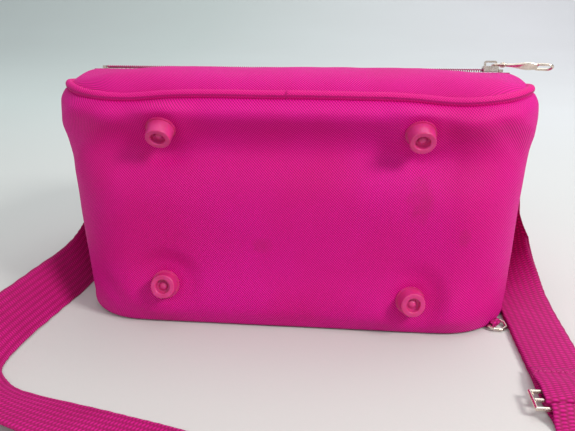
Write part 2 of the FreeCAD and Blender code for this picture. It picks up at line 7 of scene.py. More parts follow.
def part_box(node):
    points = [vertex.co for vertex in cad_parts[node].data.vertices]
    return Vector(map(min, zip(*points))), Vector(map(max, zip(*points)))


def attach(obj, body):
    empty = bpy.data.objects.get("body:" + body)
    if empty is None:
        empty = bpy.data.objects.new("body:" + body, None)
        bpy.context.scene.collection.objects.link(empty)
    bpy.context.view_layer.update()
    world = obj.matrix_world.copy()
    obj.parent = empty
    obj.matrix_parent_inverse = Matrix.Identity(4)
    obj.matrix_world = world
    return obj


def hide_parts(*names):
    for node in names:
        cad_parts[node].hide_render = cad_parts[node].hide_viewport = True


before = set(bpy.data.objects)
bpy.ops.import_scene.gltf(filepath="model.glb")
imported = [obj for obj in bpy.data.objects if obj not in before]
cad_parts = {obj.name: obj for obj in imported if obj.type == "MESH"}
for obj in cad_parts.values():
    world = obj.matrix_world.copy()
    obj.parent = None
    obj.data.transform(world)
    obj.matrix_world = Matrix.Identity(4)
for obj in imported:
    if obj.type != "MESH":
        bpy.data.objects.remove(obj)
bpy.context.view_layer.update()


# ---- Studio ----
# The bag lies on a wide, pale painted board that curves up far behind it. Five soft boxes light
# it, the strongest for its size on the right, and a pale room fills the shadows.

CAMERA_PLACE = (0.0458, -0.5587, 0.2277)
CAMERA_TURN = (72.19, 0.0, 5.91)
LENS = 42.7
TABLE_HALF = 9.0


def new_mesh_piece(name, points, faces, uv=None):
    """A mesh object; uv gives each point its place on the flat cloth, in metres."""
    mesh = bpy.data.meshes.new(name)
    mesh.from_pydata([tuple(p) for p in points], [], faces)
    if uv is not None:
        layer = mesh.uv_layers.new(name="flat_cloth")
        for loop in mesh.loops:
            layer.data[loop.index].uv = uv[loop.vertex_index]
    mesh.polygons.foreach_set("use_smooth", [True] * len(mesh.polygons))
    piece = bpy.data.objects.new(name, mesh)
    bpy.context.scene.collection.objects.link(piece)
    return piece


def linear(red, green, blue):
    """Linear light for a colour mixed as three 0 to 255 paint values."""
    out = []
    for value in (red, green, blue):
        v = value / 255
        out.append(v / 12.92 if v <= 0.04045 else ((v + 0.055) / 1.055) ** 2.4)
    return (*out, 1.0)


class Finish:
    """A material's nodes, with short calls to add and join them."""

    def __init__(self, name, roughness=0.6, metallic=0.0):
        self.material = bpy.data.materials.new(name)
        self.material.use_nodes = True
        self.tree = self.material.node_tree
        self.shader = self.tree.nodes["Principled BSDF"]
        self.shader.inputs["Roughness"].default_value = roughness
        self.shader.inputs["Metallic"].default_value = metallic

    def set(self, **values):
        for key, value in values.items():
            self.shader.inputs[key.replace("_", " ")].default_value = value

    def put(self, source, target):
        if hasattr(source, "links"):
            self.tree.links.new(source, target)
        else:
            target.default_value = source

    def node(self, kind, inputs=None, **settings):
        node = self.tree.nodes.new("ShaderNode" + kind)
        for key, value in settings.items():
            setattr(node, key, value)
        for key, value in (inputs or {}).items():
            self.put(value, node.inputs[key])
        return node

    def math(self, operation, a, b=0.0, c=0.5):
        return self.node("Math", {0: a, 1: b, 2: c}, operation=operation).outputs[0]

    def mix(self, share, a, b):
        node = self.node("Mix", data_type="RGBA")
        self.put(share, node.inputs[0])
        self.put(a, node.inputs[6])
        self.put(b, node.inputs[7])
        return node.outputs[2]

    def ramp(self, value, low, high, to_low=0.0, to_high=1.0):
        """value from low to high becomes to_low to to_high, held at the ends."""
        return self.node("MapRange", {0: value, 1: low, 2: high, 3: to_low, 4: to_high}).outputs[0]

    def noise(self, scale, detail=2.0):
        return self.node("TexNoise", {"Scale": scale, "Detail": detail, "Vector": self.place()}).outputs[0]

    def place(self):
        return self.node("TexCoord").outputs["Object"]

    def flat_cloth(self):
        """The two lengths on the flat cloth, in metres."""
        split = self.node("SeparateXYZ", {0: self.node("UVMap", uv_map="flat_cloth").outputs[0]})
        return split.outputs[0], split.outputs[1]

    def wave(self, length, pitch, shift=0.0):
        """0 to 1 to 0 over each pitch of a length."""
        turn = self.math("MULTIPLY", length, 2 * math.pi / pitch)
        turn = self.math("ADD", turn, shift)
        return self.math("MULTIPLY_ADD", self.math("SINE", turn), 0.5, 0.5)

    def bump(self, height, depth):
        return self.node("Bump", {"Height": height, "Distance": depth, "Strength": 1.0}).outputs[0]

    def finish(self, colour, normal=None, roughness=None):
        self.put(colour, self.shader.inputs["Base Color"])
        if normal is not None:
            self.put(normal, self.shader.inputs["Normal"])
        if roughness is not None:
            self.put(roughness, self.shader.inputs["Roughness"])
        return self.material


def table_top_material():
    """Matt painted board with painted shade: darker and warmer near the front edge, lighter and cooler
    towards the back, and darker at the left than at the right.
    """
    coat = Finish("table_top_paint", roughness=0.75)
    split = coat.node("SeparateXYZ", {0: coat.place()})
    # Painted shade: the colour darkens towards the front edge, in the bag's shade, and towards the left, away
    # from the right-hand lights.
    depth = coat.ramp(split.outputs[1], -0.55, 0.9)
    across = coat.ramp(split.outputs[0], -0.7, 0.8)
    far = coat.mix(across, linear(206, 216, 212), linear(230, 230, 232))
    tone = coat.mix(depth, linear(194, 192, 186), far)
    patchy = coat.ramp(coat.noise(2.2, 3.0), 0.3, 0.7, 0.0, 0.08)
    tone = coat.mix(patchy, tone, linear(190, 186, 182))
    return coat.finish(tone, coat.bump(coat.noise(420.0, 2.0), 0.00012))


def table_top():
    """Flat sheet that curves up far behind the bag."""
    points, faces = [], []
    flat_to, radius, steps = 2.0, 3.0, 12
    profile = [(-TABLE_HALF, 0.0), (flat_to, 0.0)]
    for i in range(1, steps + 1):
        turn = math.radians(90 * i / steps)
        profile.append((flat_to + radius * math.sin(turn), radius - radius * math.cos(turn)))
    profile.append((flat_to + radius, TABLE_HALF))
    for y, z in profile:
        points += [(-TABLE_HALF, y, z), (TABLE_HALF, y, z)]
    for i in range(len(profile) - 1):
        faces.append((2 * i, 2 * i + 1, 2 * i + 3, 2 * i + 2))
    piece = new_mesh_piece("table_top", points, faces)
    piece.data.materials.append(table_top_material())


def soft_box(name, place, aim, size, power, tint=(1.0, 1.0, 1.0)):
    light = bpy.data.lights.new(name, "AREA")
    light.shape = "RECTANGLE"
    light.size, light.size_y = size
    light.energy = power
    light.color = tint
    holder = bpy.data.objects.new(name, light)
    holder.location = place
    holder.rotation_euler = (Vector(aim) - Vector(place)).to_track_quat("-Z", "Y").to_euler()
    bpy.context.scene.collection.objects.link(holder)


table_top()
soft_box("soft_box_right", (1.0, -0.75, 0.95), (0.05, -0.1, 0.08), (0.35, 0.35), 15.0, (1.0, 0.985, 0.97))
soft_box("soft_box_top", (0.1, 0.1, 1.7), (0.0, 0.0, 0.1), (1.6, 1.2), 5.5)
soft_box("soft_box_front", (-0.2, -2.2, 1.5), (0.0, -0.1, 0.08), (1.6, 1.2), 8.0)
soft_box("soft_box_left", (-1.3, -1.0, 0.9), (-0.1, -0.1, 0.08), (0.9, 0.9), 3.0)
soft_box("soft_box_back", (0.5, 1.8, 2.2), (0.3, 1.6, 0.0), (3.2, 2.4), 36.0, (0.97, 0.99, 1.0))
room = bpy.data.worlds.new("studio_room")
bpy.context.scene.world = room
room.use_nodes = True
room.node_tree.nodes["Background"].inputs[0].default_value = (0.92, 0.94, 1.0, 1.0)
room.node_tree.nodes["Background"].inputs[1].default_value = 0.5
bpy.context.scene.view_settings.view_transform = "Standard"

camera = bpy.data.objects.new("camera", bpy.data.cameras.new("camera"))
camera.data.lens = LENS
camera.location = CAMERA_PLACE
camera.rotation_euler = [math.radians(a) for a in CAMERA_TURN]
bpy.context.scene.collection.objects.link(camera)
bpy.context.scene.camera = camera


# ---- Shoulder strap ----
# Two layers of 38 mm cotton-look webbing, 2 mm thick, woven with heavy lengthwise cords. It runs
# from the right ring round the front of the bag to the left ring, and doubles back on the right
# to the adjuster.

STRAP_WIDTH = 0.038
STRAP_THICKNESS = 0.002
STRAP_CORDS = 9
CORD_RELIEF = 0.00036
ROW_PITCH = 0.0023

STRAP_ROUTE = [
    ((0.1784, 0.0218, 0.068), (0, 0, 1)), ((0.1784, 0.0135, 0.0678), (0, 0, 1)),
    ((0.1782, 0.0020, 0.0600), (0.05, 0, 1)), ((0.1765, -0.0060, 0.0460), (0.15, 0, 1)),
    ((0.1755, -0.0120, 0.0300), (0.35, 0, 0.94)), ((0.1752, -0.0240, 0.0165), (0.65, 0, 0.76)),
    ((0.1752, -0.0420, 0.0075), (0.92, 0, 0.4)),
    ((0.1758, -0.064, 0.0025), (1, 0, 0.08)), ((0.1767, -0.110, 0.0012), (1, 0, 0)),
    ((0.1768, -0.155, 0.0012), (1, 0, 0)), ((0.177, -0.190, 0.0012), (1, 0, 0)),
    ((0.1778, -0.217, 0.0012), (1, 0.06, 0)), ((0.1825, -0.239, 0.0024), (1, 0.25, 0.03)),
    ((0.194, -0.263, 0.0105), (0.85, 0.3, 0.5)), ((0.206, -0.288, 0.0196), (0.25, 0.1, 1)),
    ((0.205, -0.318, 0.0204), (0.05, -0.05, 1)), ((0.183, -0.341, 0.0204), (0, -0.05, 1)),
    ((0.150, -0.344, 0.0194), (0, -0.3, 0.95)), ((0.120, -0.331, 0.0128), (-0.1, -0.8, 0.6)),
    ((0.090, -0.314, 0.0036), (-0.25, -1, 0.12)), ((0.050, -0.297, 0.0012), (-0.3, -0.95, 0)),
    ((0.0, -0.279, 0.0012), (-0.27, -0.96, 0)), ((-0.051, -0.263, 0.0012), (-0.26, -0.97, 0)),
    ((-0.096, -0.251, 0.0012), (-0.26, -0.97, 0)), ((-0.134, -0.242, 0.0034), (-0.3, -0.95, 0.12)),
    ((-0.162, -0.2335, 0.0072), (-0.45, -0.8, 0.3)), ((-0.180, -0.217, 0.0118), (-0.7, -0.5, 0.55)),
    ((-0.189, -0.200, 0.0146), (-0.7, -0.2, 0.7)), ((-0.192, -0.176, 0.0146), (-0.7, 0, 0.7)),
    ((-0.191, -0.142, 0.0138), (-0.72, 0, 0.66)), ((-0.187, -0.104, 0.0142), (-0.68, 0, 0.7)),
    ((-0.182, -0.066, 0.0152), (-0.6, 0, 0.78)), ((-0.179, -0.036, 0.0178), (-0.45, 0, 0.88)),
    ((-0.1785, -0.014, 0.030), (-0.2, 0, 0.97)), ((-0.1782, -0.004, 0.047), (0, 0, 1)),
    ((-0.1783, 0.004, 0.0605), (0, 0, 1)), ((-0.1784, 0.0135, 0.0678), (0, 0, 1)),
    ((-0.1784, 0.0218, 0.068), (0, 0, 1)),
]
DOUBLED_ROUTE = [
    ((0.1718, 0.0218, 0.068), (0, 0, 1)), ((0.1718, 0.0137, 0.0679), (0, 0, 1)),
    ((0.1722, 0.0024, 0.0604), (0.05, 0, 1)), ((0.1729, -0.0056, 0.0466), (0.15, 0, 1)),
    ((0.1731, -0.0118, 0.0308), (0.35, 0, 0.94)), ((0.1734, -0.0240, 0.0180), (0.65, 0, 0.76)),
    ((0.1743, -0.0420, 0.0097), (0.92, 0, 0.4)),
    ((0.1756, -0.064, 0.0050), (1, 0, 0.08)), ((0.1768, -0.110, 0.0036), (1, 0, 0)),
    ((0.1769, -0.155, 0.0035), (1, 0, 0)), ((0.177, -0.195, 0.0035), (1, 0, 0)),
]


def smooth_line(points, steps):
    """Points along the smooth curve that has the given control points."""
    curve = bpy.data.curves.new("route", "CURVE")
    curve.dimensions = "3D"
    spline = curve.splines.new("NURBS")
    spline.points.add(len(points) - 1)
    for held, point in zip(spline.points, points):
        held.co = (*point, 1.0)
    spline.order_u = 3
    spline.use_endpoint_u = True
    spline.resolution_u = steps
    holder = bpy.data.objects.new("route", curve)
    bpy.context.scene.collection.objects.link(holder)
    mesh = bpy.data.meshes.new_from_object(holder.evaluated_get(bpy.context.evaluated_depsgraph_get()))
    line = [v.co.copy() for v in mesh.vertices]
    bpy.data.objects.remove(holder)
    return line


def tube_faces(rings, sides, first=0, closed=False, flip=False, capped=False):
    """Quads round a tube of rings of points, joined in a loop if closed; capped fills its ends."""
    faces = []
    for i in range(rings if closed else rings - 1):
        for j in range(sides):
            a, b = first + i * sides + j, first + i * sides + (j + 1) % sides
            onward = ((i + 1) % rings - i) * sides
            faces.append((a, a + onward, b + onward, b) if flip else (a, b, b + onward, a + onward))
    if capped:
        last = first + (rings - 1) * sides
        faces += [tuple(range(first + sides - 1, first - 1, -1)), tuple(range(last, last + sides))]
    return faces


def fit(piece, material, body, slot, *nodes):
    """Give a piece its finish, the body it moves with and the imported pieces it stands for."""
    piece.data.materials.append(material)
    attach(piece, body)
    for node in nodes:
        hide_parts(node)
    return piece


def webbing(name, line, sides, width=STRAP_WIDTH, thickness=STRAP_THICKNESS, cords=STRAP_CORDS,
            relief=CORD_RELIEF, across=36, wander=0.0004):
    """Flat ribbed webbing along a line; sides are the ways its outer edge points."""
    points, uv, along = [], [], 0.0
    ring = 2 * (across + 1)
    for i, here in enumerate(line):
        before, after = line[max(i - 1, 0)], line[min(i + 1, len(line) - 1)]
        if i:
            along += (here - line[i - 1]).length
        forward = (after - before).normalized()
        out = sides[i] - forward * sides[i].dot(forward)
        out.normalize()
        up = out.cross(forward).normalized()
        rows = 0.00006 * math.sin(2 * math.pi * along / ROW_PITCH)
        sway = wander * noise.noise(Vector((along * 38, 3.1, 0.4)))
        for face in (1, -1):
            for j in range(across + 1):
                v = (2 * j / across - 1) * face
                edge = abs(v) ** 12
                rib = 0.5 + 0.5 * math.cos(math.pi * cords * (v + 1) + math.pi)
                rise = thickness / 2 - relief * (1 - rib) - 0.55 * thickness / 2 * edge + rows * (1 - edge)
                flutter = 0.00035 * noise.noise(Vector((along * 60, v * 1.6, 7.7))) * (1 - edge)
                fray = 0.00018 * math.sin(2 * math.pi * along / ROW_PITCH + v) * edge
                spread = v * (width / 2 - 0.0002) + sway * abs(v) + fray * v
                points.append(here + out * spread + up * (face * (rise + flutter * face)))
                uv.append((along, v * width / 2 + (0.1 if face < 0 else 0.0)))
    return new_mesh_piece(name, points, tube_faces(len(line), ring, capped=True), uv)


def webbing_material():
    """Hot pink yarn in a coarse plain weave over lengthwise cords, with painted shade between the cords and
    where the weave's yarns dip.
    """
    yarn = Finish("strap_webbing", roughness=0.62)
    along, across = yarn.flat_cloth()
    cord = yarn.wave(across, STRAP_WIDTH / STRAP_CORDS, -math.pi / 2)
    row = yarn.wave(along, ROW_PITCH)
    opposite = yarn.wave(along, ROW_PITCH, math.pi)
    half_step = yarn.wave(across, 2 * STRAP_WIDTH / STRAP_CORDS)
    weave = yarn.math("ADD", yarn.math("MULTIPLY", row, half_step),
                      yarn.math("MULTIPLY", opposite, yarn.math("SUBTRACT", 1.0, half_step)))
    slub = yarn.noise(900.0, 2.0)
    patch = yarn.ramp(yarn.noise(28.0, 3.0), 0.3, 0.7)
    lit = yarn.mix(patch, linear(198, 2, 122), linear(212, 10, 134))
    # Painted shade: the dark colour fills the grooves between the cords and the yarns that dip in the weave.
    gap_shade = linear(116, 0, 52)
    share = yarn.ramp(yarn.math("ADD", yarn.math("MULTIPLY", cord, 0.36), yarn.math("MULTIPLY", weave, 0.75)),
                      0.12, 0.9)
    share = yarn.math("MULTIPLY", share, yarn.ramp(slub, 0.25, 0.6, 0.78, 1.0))
    height = yarn.math("ADD", weave, yarn.math("MULTIPLY", slub, 0.35))
    normal = yarn.bump(height, 0.00032)
    yarn.set(Sheen_Weight=0.12, Sheen_Roughness=0.45, Sheen_Tint=linear(255, 110, 205))
    yarn.shader.inputs["Specular IOR Level"].default_value = 0.25
    return yarn.finish(yarn.mix(share, gap_shade, lit), normal, yarn.ramp(weave, 0.0, 1.0, 0.75, 0.55))


strap_finish = webbing_material()


def strap_run(name, route, node, exit_point):
    centre = smooth_line([Vector(p) for p, out in route], 14)
    outer = smooth_line([Vector(p) + Vector(out).normalized() * (STRAP_WIDTH / 2) for p, out in route], 14)
    piece = webbing(name, centre, [o - c for o, c in zip(outer, centre)])
    fit(piece, strap_finish, "bag", "strap_webbing", node)
    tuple(exit_point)


strap_run("strap_long", STRAP_ROUTE, "strap_long_run", STRAP_ROUTE[0][0])


# ---- Side rings, their tabs and the strap's turns ----
# A rectangular wire ring hangs from a folded webbing tab sewn over each side wall. The strap is
# turned round the ring's outer bar.

LOOP_MIDDLE = 0.0023 + STRAP_THICKNESS / 2 + 0.00005


def bar_of(node, side, outer):
    """The upright bar of a side ring: the inner one in the tab, or the outer one in the strap."""
    low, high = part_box(node)
    wire = 0.002
    near, far = (low.x + wire, high.x - wire) if side > 0 else (high.x - wire, low.x + wire)
    x = far if outer else near
    y = (low.y + wire) if outer else (high.y - wire)
    return Vector((x, y, (low.z + high.z) / 2))


def folded_webbing(name, bar, side, along, lengths, body, node):
    """Webbing round an upright bar, its two ends running along +Y or -Y."""
    turn_steps = 14
    line = []
    inner_x, outer_x = bar.x - side * LOOP_MIDDLE, bar.x + side * LOOP_MIDDLE
    inner_length, outer_length = lengths
    for i in range(9):
        line.append(Vector((outer_x, bar.y + along * outer_length * (1 - i / 9), bar.z)))
    for i in range(turn_steps + 1):
        turn = math.pi * i / turn_steps
        across, back = side * LOOP_MIDDLE * math.cos(turn), -along * LOOP_MIDDLE * math.sin(turn)
        line.append(bar + Vector((across, back, 0)))
    for i in range(1, 10):
        line.append(Vector((inner_x, bar.y + along * inner_length * i / 9, bar.z)))
    piece = webbing(name, line, [Vector((0, 0, 1))] * len(line), wander=0.0)
    fit(piece, strap_finish, body, "strap_webbing", node)


for side, name in ((-1, "left"), (1, "right")):
    ring, tab_node, turn_node = "side_ring_" + name, "side_tab_" + name, "strap_turn_" + name
    inner_bar, outer_bar = bar_of(ring, side, False), bar_of(ring, side, True)
    tab_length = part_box(tab_node)[1].y - inner_bar.y
    folded_webbing("side_tab_webbing_" + name, inner_bar, side, 1,
                   (tab_length, tab_length - 0.002), "bag", tab_node)
    turn_length = outer_bar.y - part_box(turn_node)[0].y
    folded_webbing("strap_fold_" + name, outer_bar, side, -1,
                   (turn_length, turn_length), name + "_ring", turn_node)


# ---- Adjuster and the strap's sewn end ----
# The wire adjuster slides on the strap. The strap's end is turned round its middle bar and
# sewn back on itself with a row of cross stitches, one thread of which has come loose. A short
# arch of webbing over its front bar stands for the stretch of strap that is threaded there.

MIDDLE_BAR = Vector((0.1765, -0.204, 0.0062))
END_TURN = 0.0014 + STRAP_THICKNESS / 2


def thread_piece(name, runs, radius, sides=6):
    """Short lengths of thread, each a round-ended tube through its points."""
    points, faces = [], []
    for run in runs:
        run = [Vector(p) for p in run]
        first = len(points)
        for i, here in enumerate(run):
            forward = (run[min(i + 1, len(run) - 1)] - run[max(i - 1, 0)]).normalized()
            across = forward.orthogonal().normalized()
            other = forward.cross(across)
            thick = radius * (0.45 if i in (0, len(run) - 1) else 1.0)
            for j in range(sides):
                turn = 2 * math.pi * j / sides
                points.append(here + across * (thick * math.cos(turn)) + other * (thick * math.sin(turn)))
        faces += tube_faces(len(run), sides, first, capped=True)
    return new_mesh_piece(name, points, faces)


def thread_material():
    """Twisted polyester thread, a shade lighter than the cloth."""
    thread = Finish("sewing_thread", roughness=0.45)
    twist = thread.noise(2600.0, 1.0)
    tone = thread.mix(twist, linear(150, 5, 80), linear(226, 60, 150))
    return thread.finish(tone, thread.bump(twist, 0.0001))


thread_finish = thread_material()


def stitch(start, end, out, lift):
    """One stitch that rises out of the cloth and goes back in."""
    start, end, out = Vector(start), Vector(end), Vector(out)
    return [start - out * lift, start.lerp(end, 0.2) + out * lift * 0.7, start.lerp(end, 0.5) + out * lift,
            start.lerp(end, 0.8) + out * lift * 0.7, end - out * lift]


def sewn_strap_end():
    line = []
    for i in range(19):
        share = i / 18
        y = -0.1665 - 0.0375 * share
        rise = 0.5 - 0.5 * math.cos(math.pi * min(share / 0.7, 1.0))
        line.append(Vector((MIDDLE_BAR.x, y, 0.0056 + (MIDDLE_BAR.z + END_TURN - 0.0056) * rise)))
    for i in range(1, 15):
        turn = math.pi * i / 14
        line.append(MIDDLE_BAR + Vector((0, -END_TURN * math.sin(turn), END_TURN * math.cos(turn))))
    piece = webbing("strap_sewn_fold", line, [Vector((1, 0, 0))] * len(line), wander=0.0002)
    return fit(piece, strap_finish, "adjuster", "strap_webbing", "strap_sewn_end")


sewn_fold = sewn_strap_end()
cross_stitches = []
for i in range(13):
    x = MIDDLE_BAR.x - 0.0162 + 0.0027 * i
    for lean in (-0.0011, 0.0011):
        start, end = (x - 0.0012, -0.1722 + lean, 0.0068), (x + 0.0012, -0.1722 - lean, 0.0068)
        cross_stitches.append(stitch(start, end, (0, 0, 1), 0.00035))

bar_route = [(-0.2075, 0.0010), (-0.2094, 0.0022), (-0.2098, 0.0056), (-0.2108, 0.0088), (-0.2132, 0.0094),
             (-0.2158, 0.0082), (-0.2184, 0.0054), (-0.2215, 0.0030), (-0.2255, 0.0014), (-0.2290, 0.0010)]
bar_line = smooth_line([Vector((0.1776, y, z)) for y, z in bar_route], 8)
over_bar = webbing("strap_over_bar", bar_line, [Vector((1, 0.04, 0))] * len(bar_line), wander=0.0002)
fit(over_bar, strap_finish, "adjuster", "strap_webbing")
cross_row = thread_piece("strap_cross_stitches", cross_stitches, 0.00028)
loose_thread = thread_piece("strap_loose_thread", [[
    (0.1612, -0.1722, 0.0066), (0.1606, -0.1745, 0.0086), (0.1593, -0.1768, 0.0092),
    (0.1579, -0.1776, 0.0080), (0.1566, -0.1793, 0.0070), (0.1561, -0.1812, 0.0072)]], 0.00016)
for piece in (cross_row, loose_thread):
    fit(piece, thread_finish, "adjuster", "strap_webbing")
strap_run("strap_doubled", DOUBLED_ROUTE, "strap_doubled_run", DOUBLED_ROUTE[0][0])


# ---- Base and side walls ----
# One long piece of padded polyester twill goes up one side, under the base and up the other. It
# sags between the four feet, bulges under the front seam and rolls under at the back edge.

HALF_FRONT = 0.168
HALF_BACK = 0.162
BASE_Y = -0.120
TOP_Y = 0.120
DEPTH = 0.166
CORNER = 0.052
FRONT_FALL = 0.034
SLOPE = math.atan2(FRONT_FALL, 0.240)
STRAIGHT = HALF_FRONT - CORNER
ARC = CORNER * math.pi / 2
SIDE = TOP_Y - BASE_Y - 2 * CORNER
AROUND = 4 * STRAIGHT + 4 * ARC + 2 * SIDE
STRIP_SEAM = STRAIGHT + ARC + SIDE + CORNER * math.asin((0.030 + CORNER - 0.060) / CORNER)
ROLL_HEIGHT = 0.018
ROLL_INSET = 0.009
SEAM_INSET = 0.0055
BACK_SEAM_HEIGHT = 0.0012
FEET = {
    "foot_upper_left": (-0.0845, 0.1445, (0.0, -0.82, -0.57)),
    "foot_upper_right": (0.0865, 0.144, (0.07, -0.90, -0.42)),
    "foot_lower_left": (-0.0873, 0.0315, (0.05, -0.97, 0.21)),
    "foot_lower_right": (0.0855, 0.027, (0.17, -0.98, 0.07)),
}


def smooth_step(value, low, high):
    share = min(max((value - low) / (high - low), 0.0), 1.0)
    return share * share * (3 - 2 * share)


def hump(value, middle, width):
    return math.exp(-((value - middle) / width) ** 2)


def front_seam_height(x, y):
    """The front seam falls towards the top, dips beside the base's corners and lifts round them."""
    fall = FRONT_FALL * max((y - BASE_Y) / (TOP_Y - BASE_Y), 0.0) ** 1.6
    dip = 0.0030 * hump(abs(x), 0.112, 0.030) * (1 - smooth_step(y, -0.114, -0.095))
    lift = 0.0035 * smooth_step(y, -0.112, -0.080) * (1 - smooth_step(y, -0.050, 0.010))
    return DEPTH - 0.0006 - fall - dip + lift


def edge_at(s, half):
    """Place and outward way on the bag's rounded outline, s metres round from the base's middle."""
    if s > AROUND / 2:
        s -= AROUND
    side, a, k = (1 if s >= 0 else -1), abs(s), (half - CORNER) / STRAIGHT
    cx = half - CORNER
    if a < STRAIGHT:
        x, y, nx, ny = a * k, BASE_Y, 0.0, -1.0
    elif a < STRAIGHT + ARC:
        turn = (a - STRAIGHT) / CORNER
        nx, ny = math.sin(turn), -math.cos(turn)
        x, y = cx + CORNER * nx, BASE_Y + CORNER + CORNER * ny
    elif a < STRAIGHT + ARC + SIDE:
        x, y, nx, ny = half, BASE_Y + CORNER + (a - STRAIGHT - ARC), 1.0, 0.0
    elif a < STRAIGHT + 2 * ARC + SIDE:
        turn = (a - STRAIGHT - ARC - SIDE) / CORNER
        nx, ny = math.cos(turn), math.sin(turn)
        x, y = cx + CORNER * nx, TOP_Y - CORNER + CORNER * ny
    else:
        x, y, nx, ny = cx - (a - STRAIGHT - 2 * ARC - SIDE) * k, TOP_Y, 0.0, 1.0
    return x * side, y, nx * side, ny


def crease(s, z, start, end, width, depth):
    """A soft fold along a line on the wall."""
    along = Vector(end) - Vector(start)
    reach = Vector((s, z)) - Vector(start)
    share = min(max(reach.dot(along) / along.length_squared, 0.0), 1.0)
    off = (reach - along * share).length
    return depth * math.exp(-(off / width) ** 2) * math.sin(math.pi * (0.1 + 0.8 * share))


CREASES = [
    ((0.128, 0.158), (0.176, 0.118), 0.006, -0.0014), ((0.136, 0.160), (0.190, 0.132), 0.005, 0.0010),
    ((-0.130, 0.158), (-0.180, 0.112), 0.007, -0.0015), ((-0.142, 0.160), (-0.192, 0.130), 0.005, 0.0010),
    ((0.120, 0.010), (0.160, 0.046), 0.007, -0.0012), ((-0.118, 0.008), (-0.158, 0.050), 0.007, -0.0012),
    ((0.240, 0.020), (0.262, 0.120), 0.010, -0.0016), ((-0.236, 0.024), (-0.258, 0.126), 0.010, -0.0016),
    ((-0.060, 0.126), (0.030, 0.121), 0.008, -0.0009), ((0.010, 0.066), (0.078, 0.084), 0.012, -0.0006),
    ((-0.078, 0.078), (-0.020, 0.060), 0.012, -0.0006), ((0.300, 0.040), (0.332, 0.118), 0.011, -0.0013),
    ((-0.296, 0.030), (-0.330, 0.110), 0.011, -0.0013),
]


def wall_rise(s, x, y, z):
    """How far the cloth stands out from the wall's plain outline."""
    below = front_seam_height(x, y) - z
    at_base = 1 - smooth_step(abs(s), STRAIGHT * 0.9, STRAIGHT + ARC * 0.8)
    ridge = 0.0048 * hump(below, 0.0115, 0.0085)
    hollow = -0.0088 * hump(below, 0.036, 0.0165)
    belly = 0.0030 * hump(z, 0.020, 0.018) + 0.0012 * hump(z, 0.085, 0.022)
    belly += 0.0030 * hump(z, 0.014, 0.016) * hump(x, 0.100, 0.045)
    base = ridge + hollow + belly
    sides = 0.0024 * hump(below, 0.020, 0.016) - 0.0020 * hump(z, 0.080, 0.042)
    sides -= (0.0045 if s < 0 else 0.0032) * (1 - smooth_step(z, 0.0, 0.085))
    rise = base * at_base + sides * (1 - at_base)
    rise += 0.0009 * noise.noise(Vector((s * 17, z * 22, 1.7)))
    rise += 0.00012 * noise.noise(Vector((s * 75, z * 62, 5.2)))
    for start, end, width, depth in CREASES:
        rise += crease(s, z, start, end, width, depth)
    rise *= smooth_step(below, 0.0, 0.009)
    lip = 1 - min(max(below, 0.0) / 0.010, 1.0)
    rise -= SEAM_INSET * (1 - math.sqrt(max(1 - lip ** 2, 0.0)))
    rise *= 0.25 + 0.75 * smooth_step(z, 0.0, 0.014)
    for foot_x, foot_z, (nx, ny, nz) in FEET.values():
        off = math.hypot(x - foot_x, z - foot_z)
        if off > 0.032 or y > -0.1:
            continue
        seat = BASE_Y + 0.0005 - (nx * (x - foot_x) + nz * (z - foot_z)) / ny
        held = (1 - smooth_step(off, 0.0105, 0.030)) * smooth_step(below, 0.0005, 0.0085)
        pinch = 0.0007 * hump(off, 0.0135, 0.0035)
        rise = rise * (1 - held) + (BASE_Y - seat + 0.0001) * held + pinch
    return rise


def wall_point(s, z):
    """A point of the cloth's outer face."""
    half = HALF_BACK + (HALF_FRONT - HALF_BACK) * z / DEPTH
    x, y, nx, ny = edge_at(s, half)
    low = min(z / ROLL_HEIGHT, 1.0)
    inset = ROLL_INSET * (0.8 - 0.2 * (1 - smooth_step(abs(s), STRAIGHT * 0.8, STRAIGHT + ARC * 0.6)))
    tuck = inset * (1 - math.sqrt(max(1 - (1 - low) ** 2, 0.0)))
    rise = wall_rise(s if s <= AROUND / 2 else s - AROUND, x, y, z) - tuck
    return Vector((x + nx * rise, y + ny * rise, z))


def grid_faces(columns, rows, flip=False):
    """Quads between columns + 1 lines of rows + 1 points each."""
    faces = []
    for i in range(columns):
        for j in range(rows):
            a = i * (rows + 1) + j
            b = a + rows + 1
            faces.append((a, a + 1, b + 1, b) if flip else (a, b, b + 1, a + 1))
    return faces


def thicken(piece, name, thickness):
    """Give a sheet its thickness, inwards from its outer face."""
    layer = piece.modifiers.new(name, "SOLIDIFY")
    layer.thickness = thickness
    layer.offset = -1
    return piece


def wall_cloth(name, s_from, s_to, columns, rows, low, high):
    """A panel of the wall between two places round it; low and high give its edges' heights."""
    points, uv = [], []
    for i in range(columns + 1):
        s = s_from + (s_to - s_from) * i / columns
        x, y = edge_at(s, HALF_FRONT)[:2]
        bottom, top = low(x, y), high(x, y)
        for j in range(rows + 1):
            share = (j / rows) ** 1.12
            z = bottom + (top - bottom) * share
            points.append(wall_point(s, z))
            uv.append((s, z))
    return thicken(new_mesh_piece(name, points, grid_faces(columns, rows), uv), "wall", 0.004)


TWILL_PITCH = 0.0017


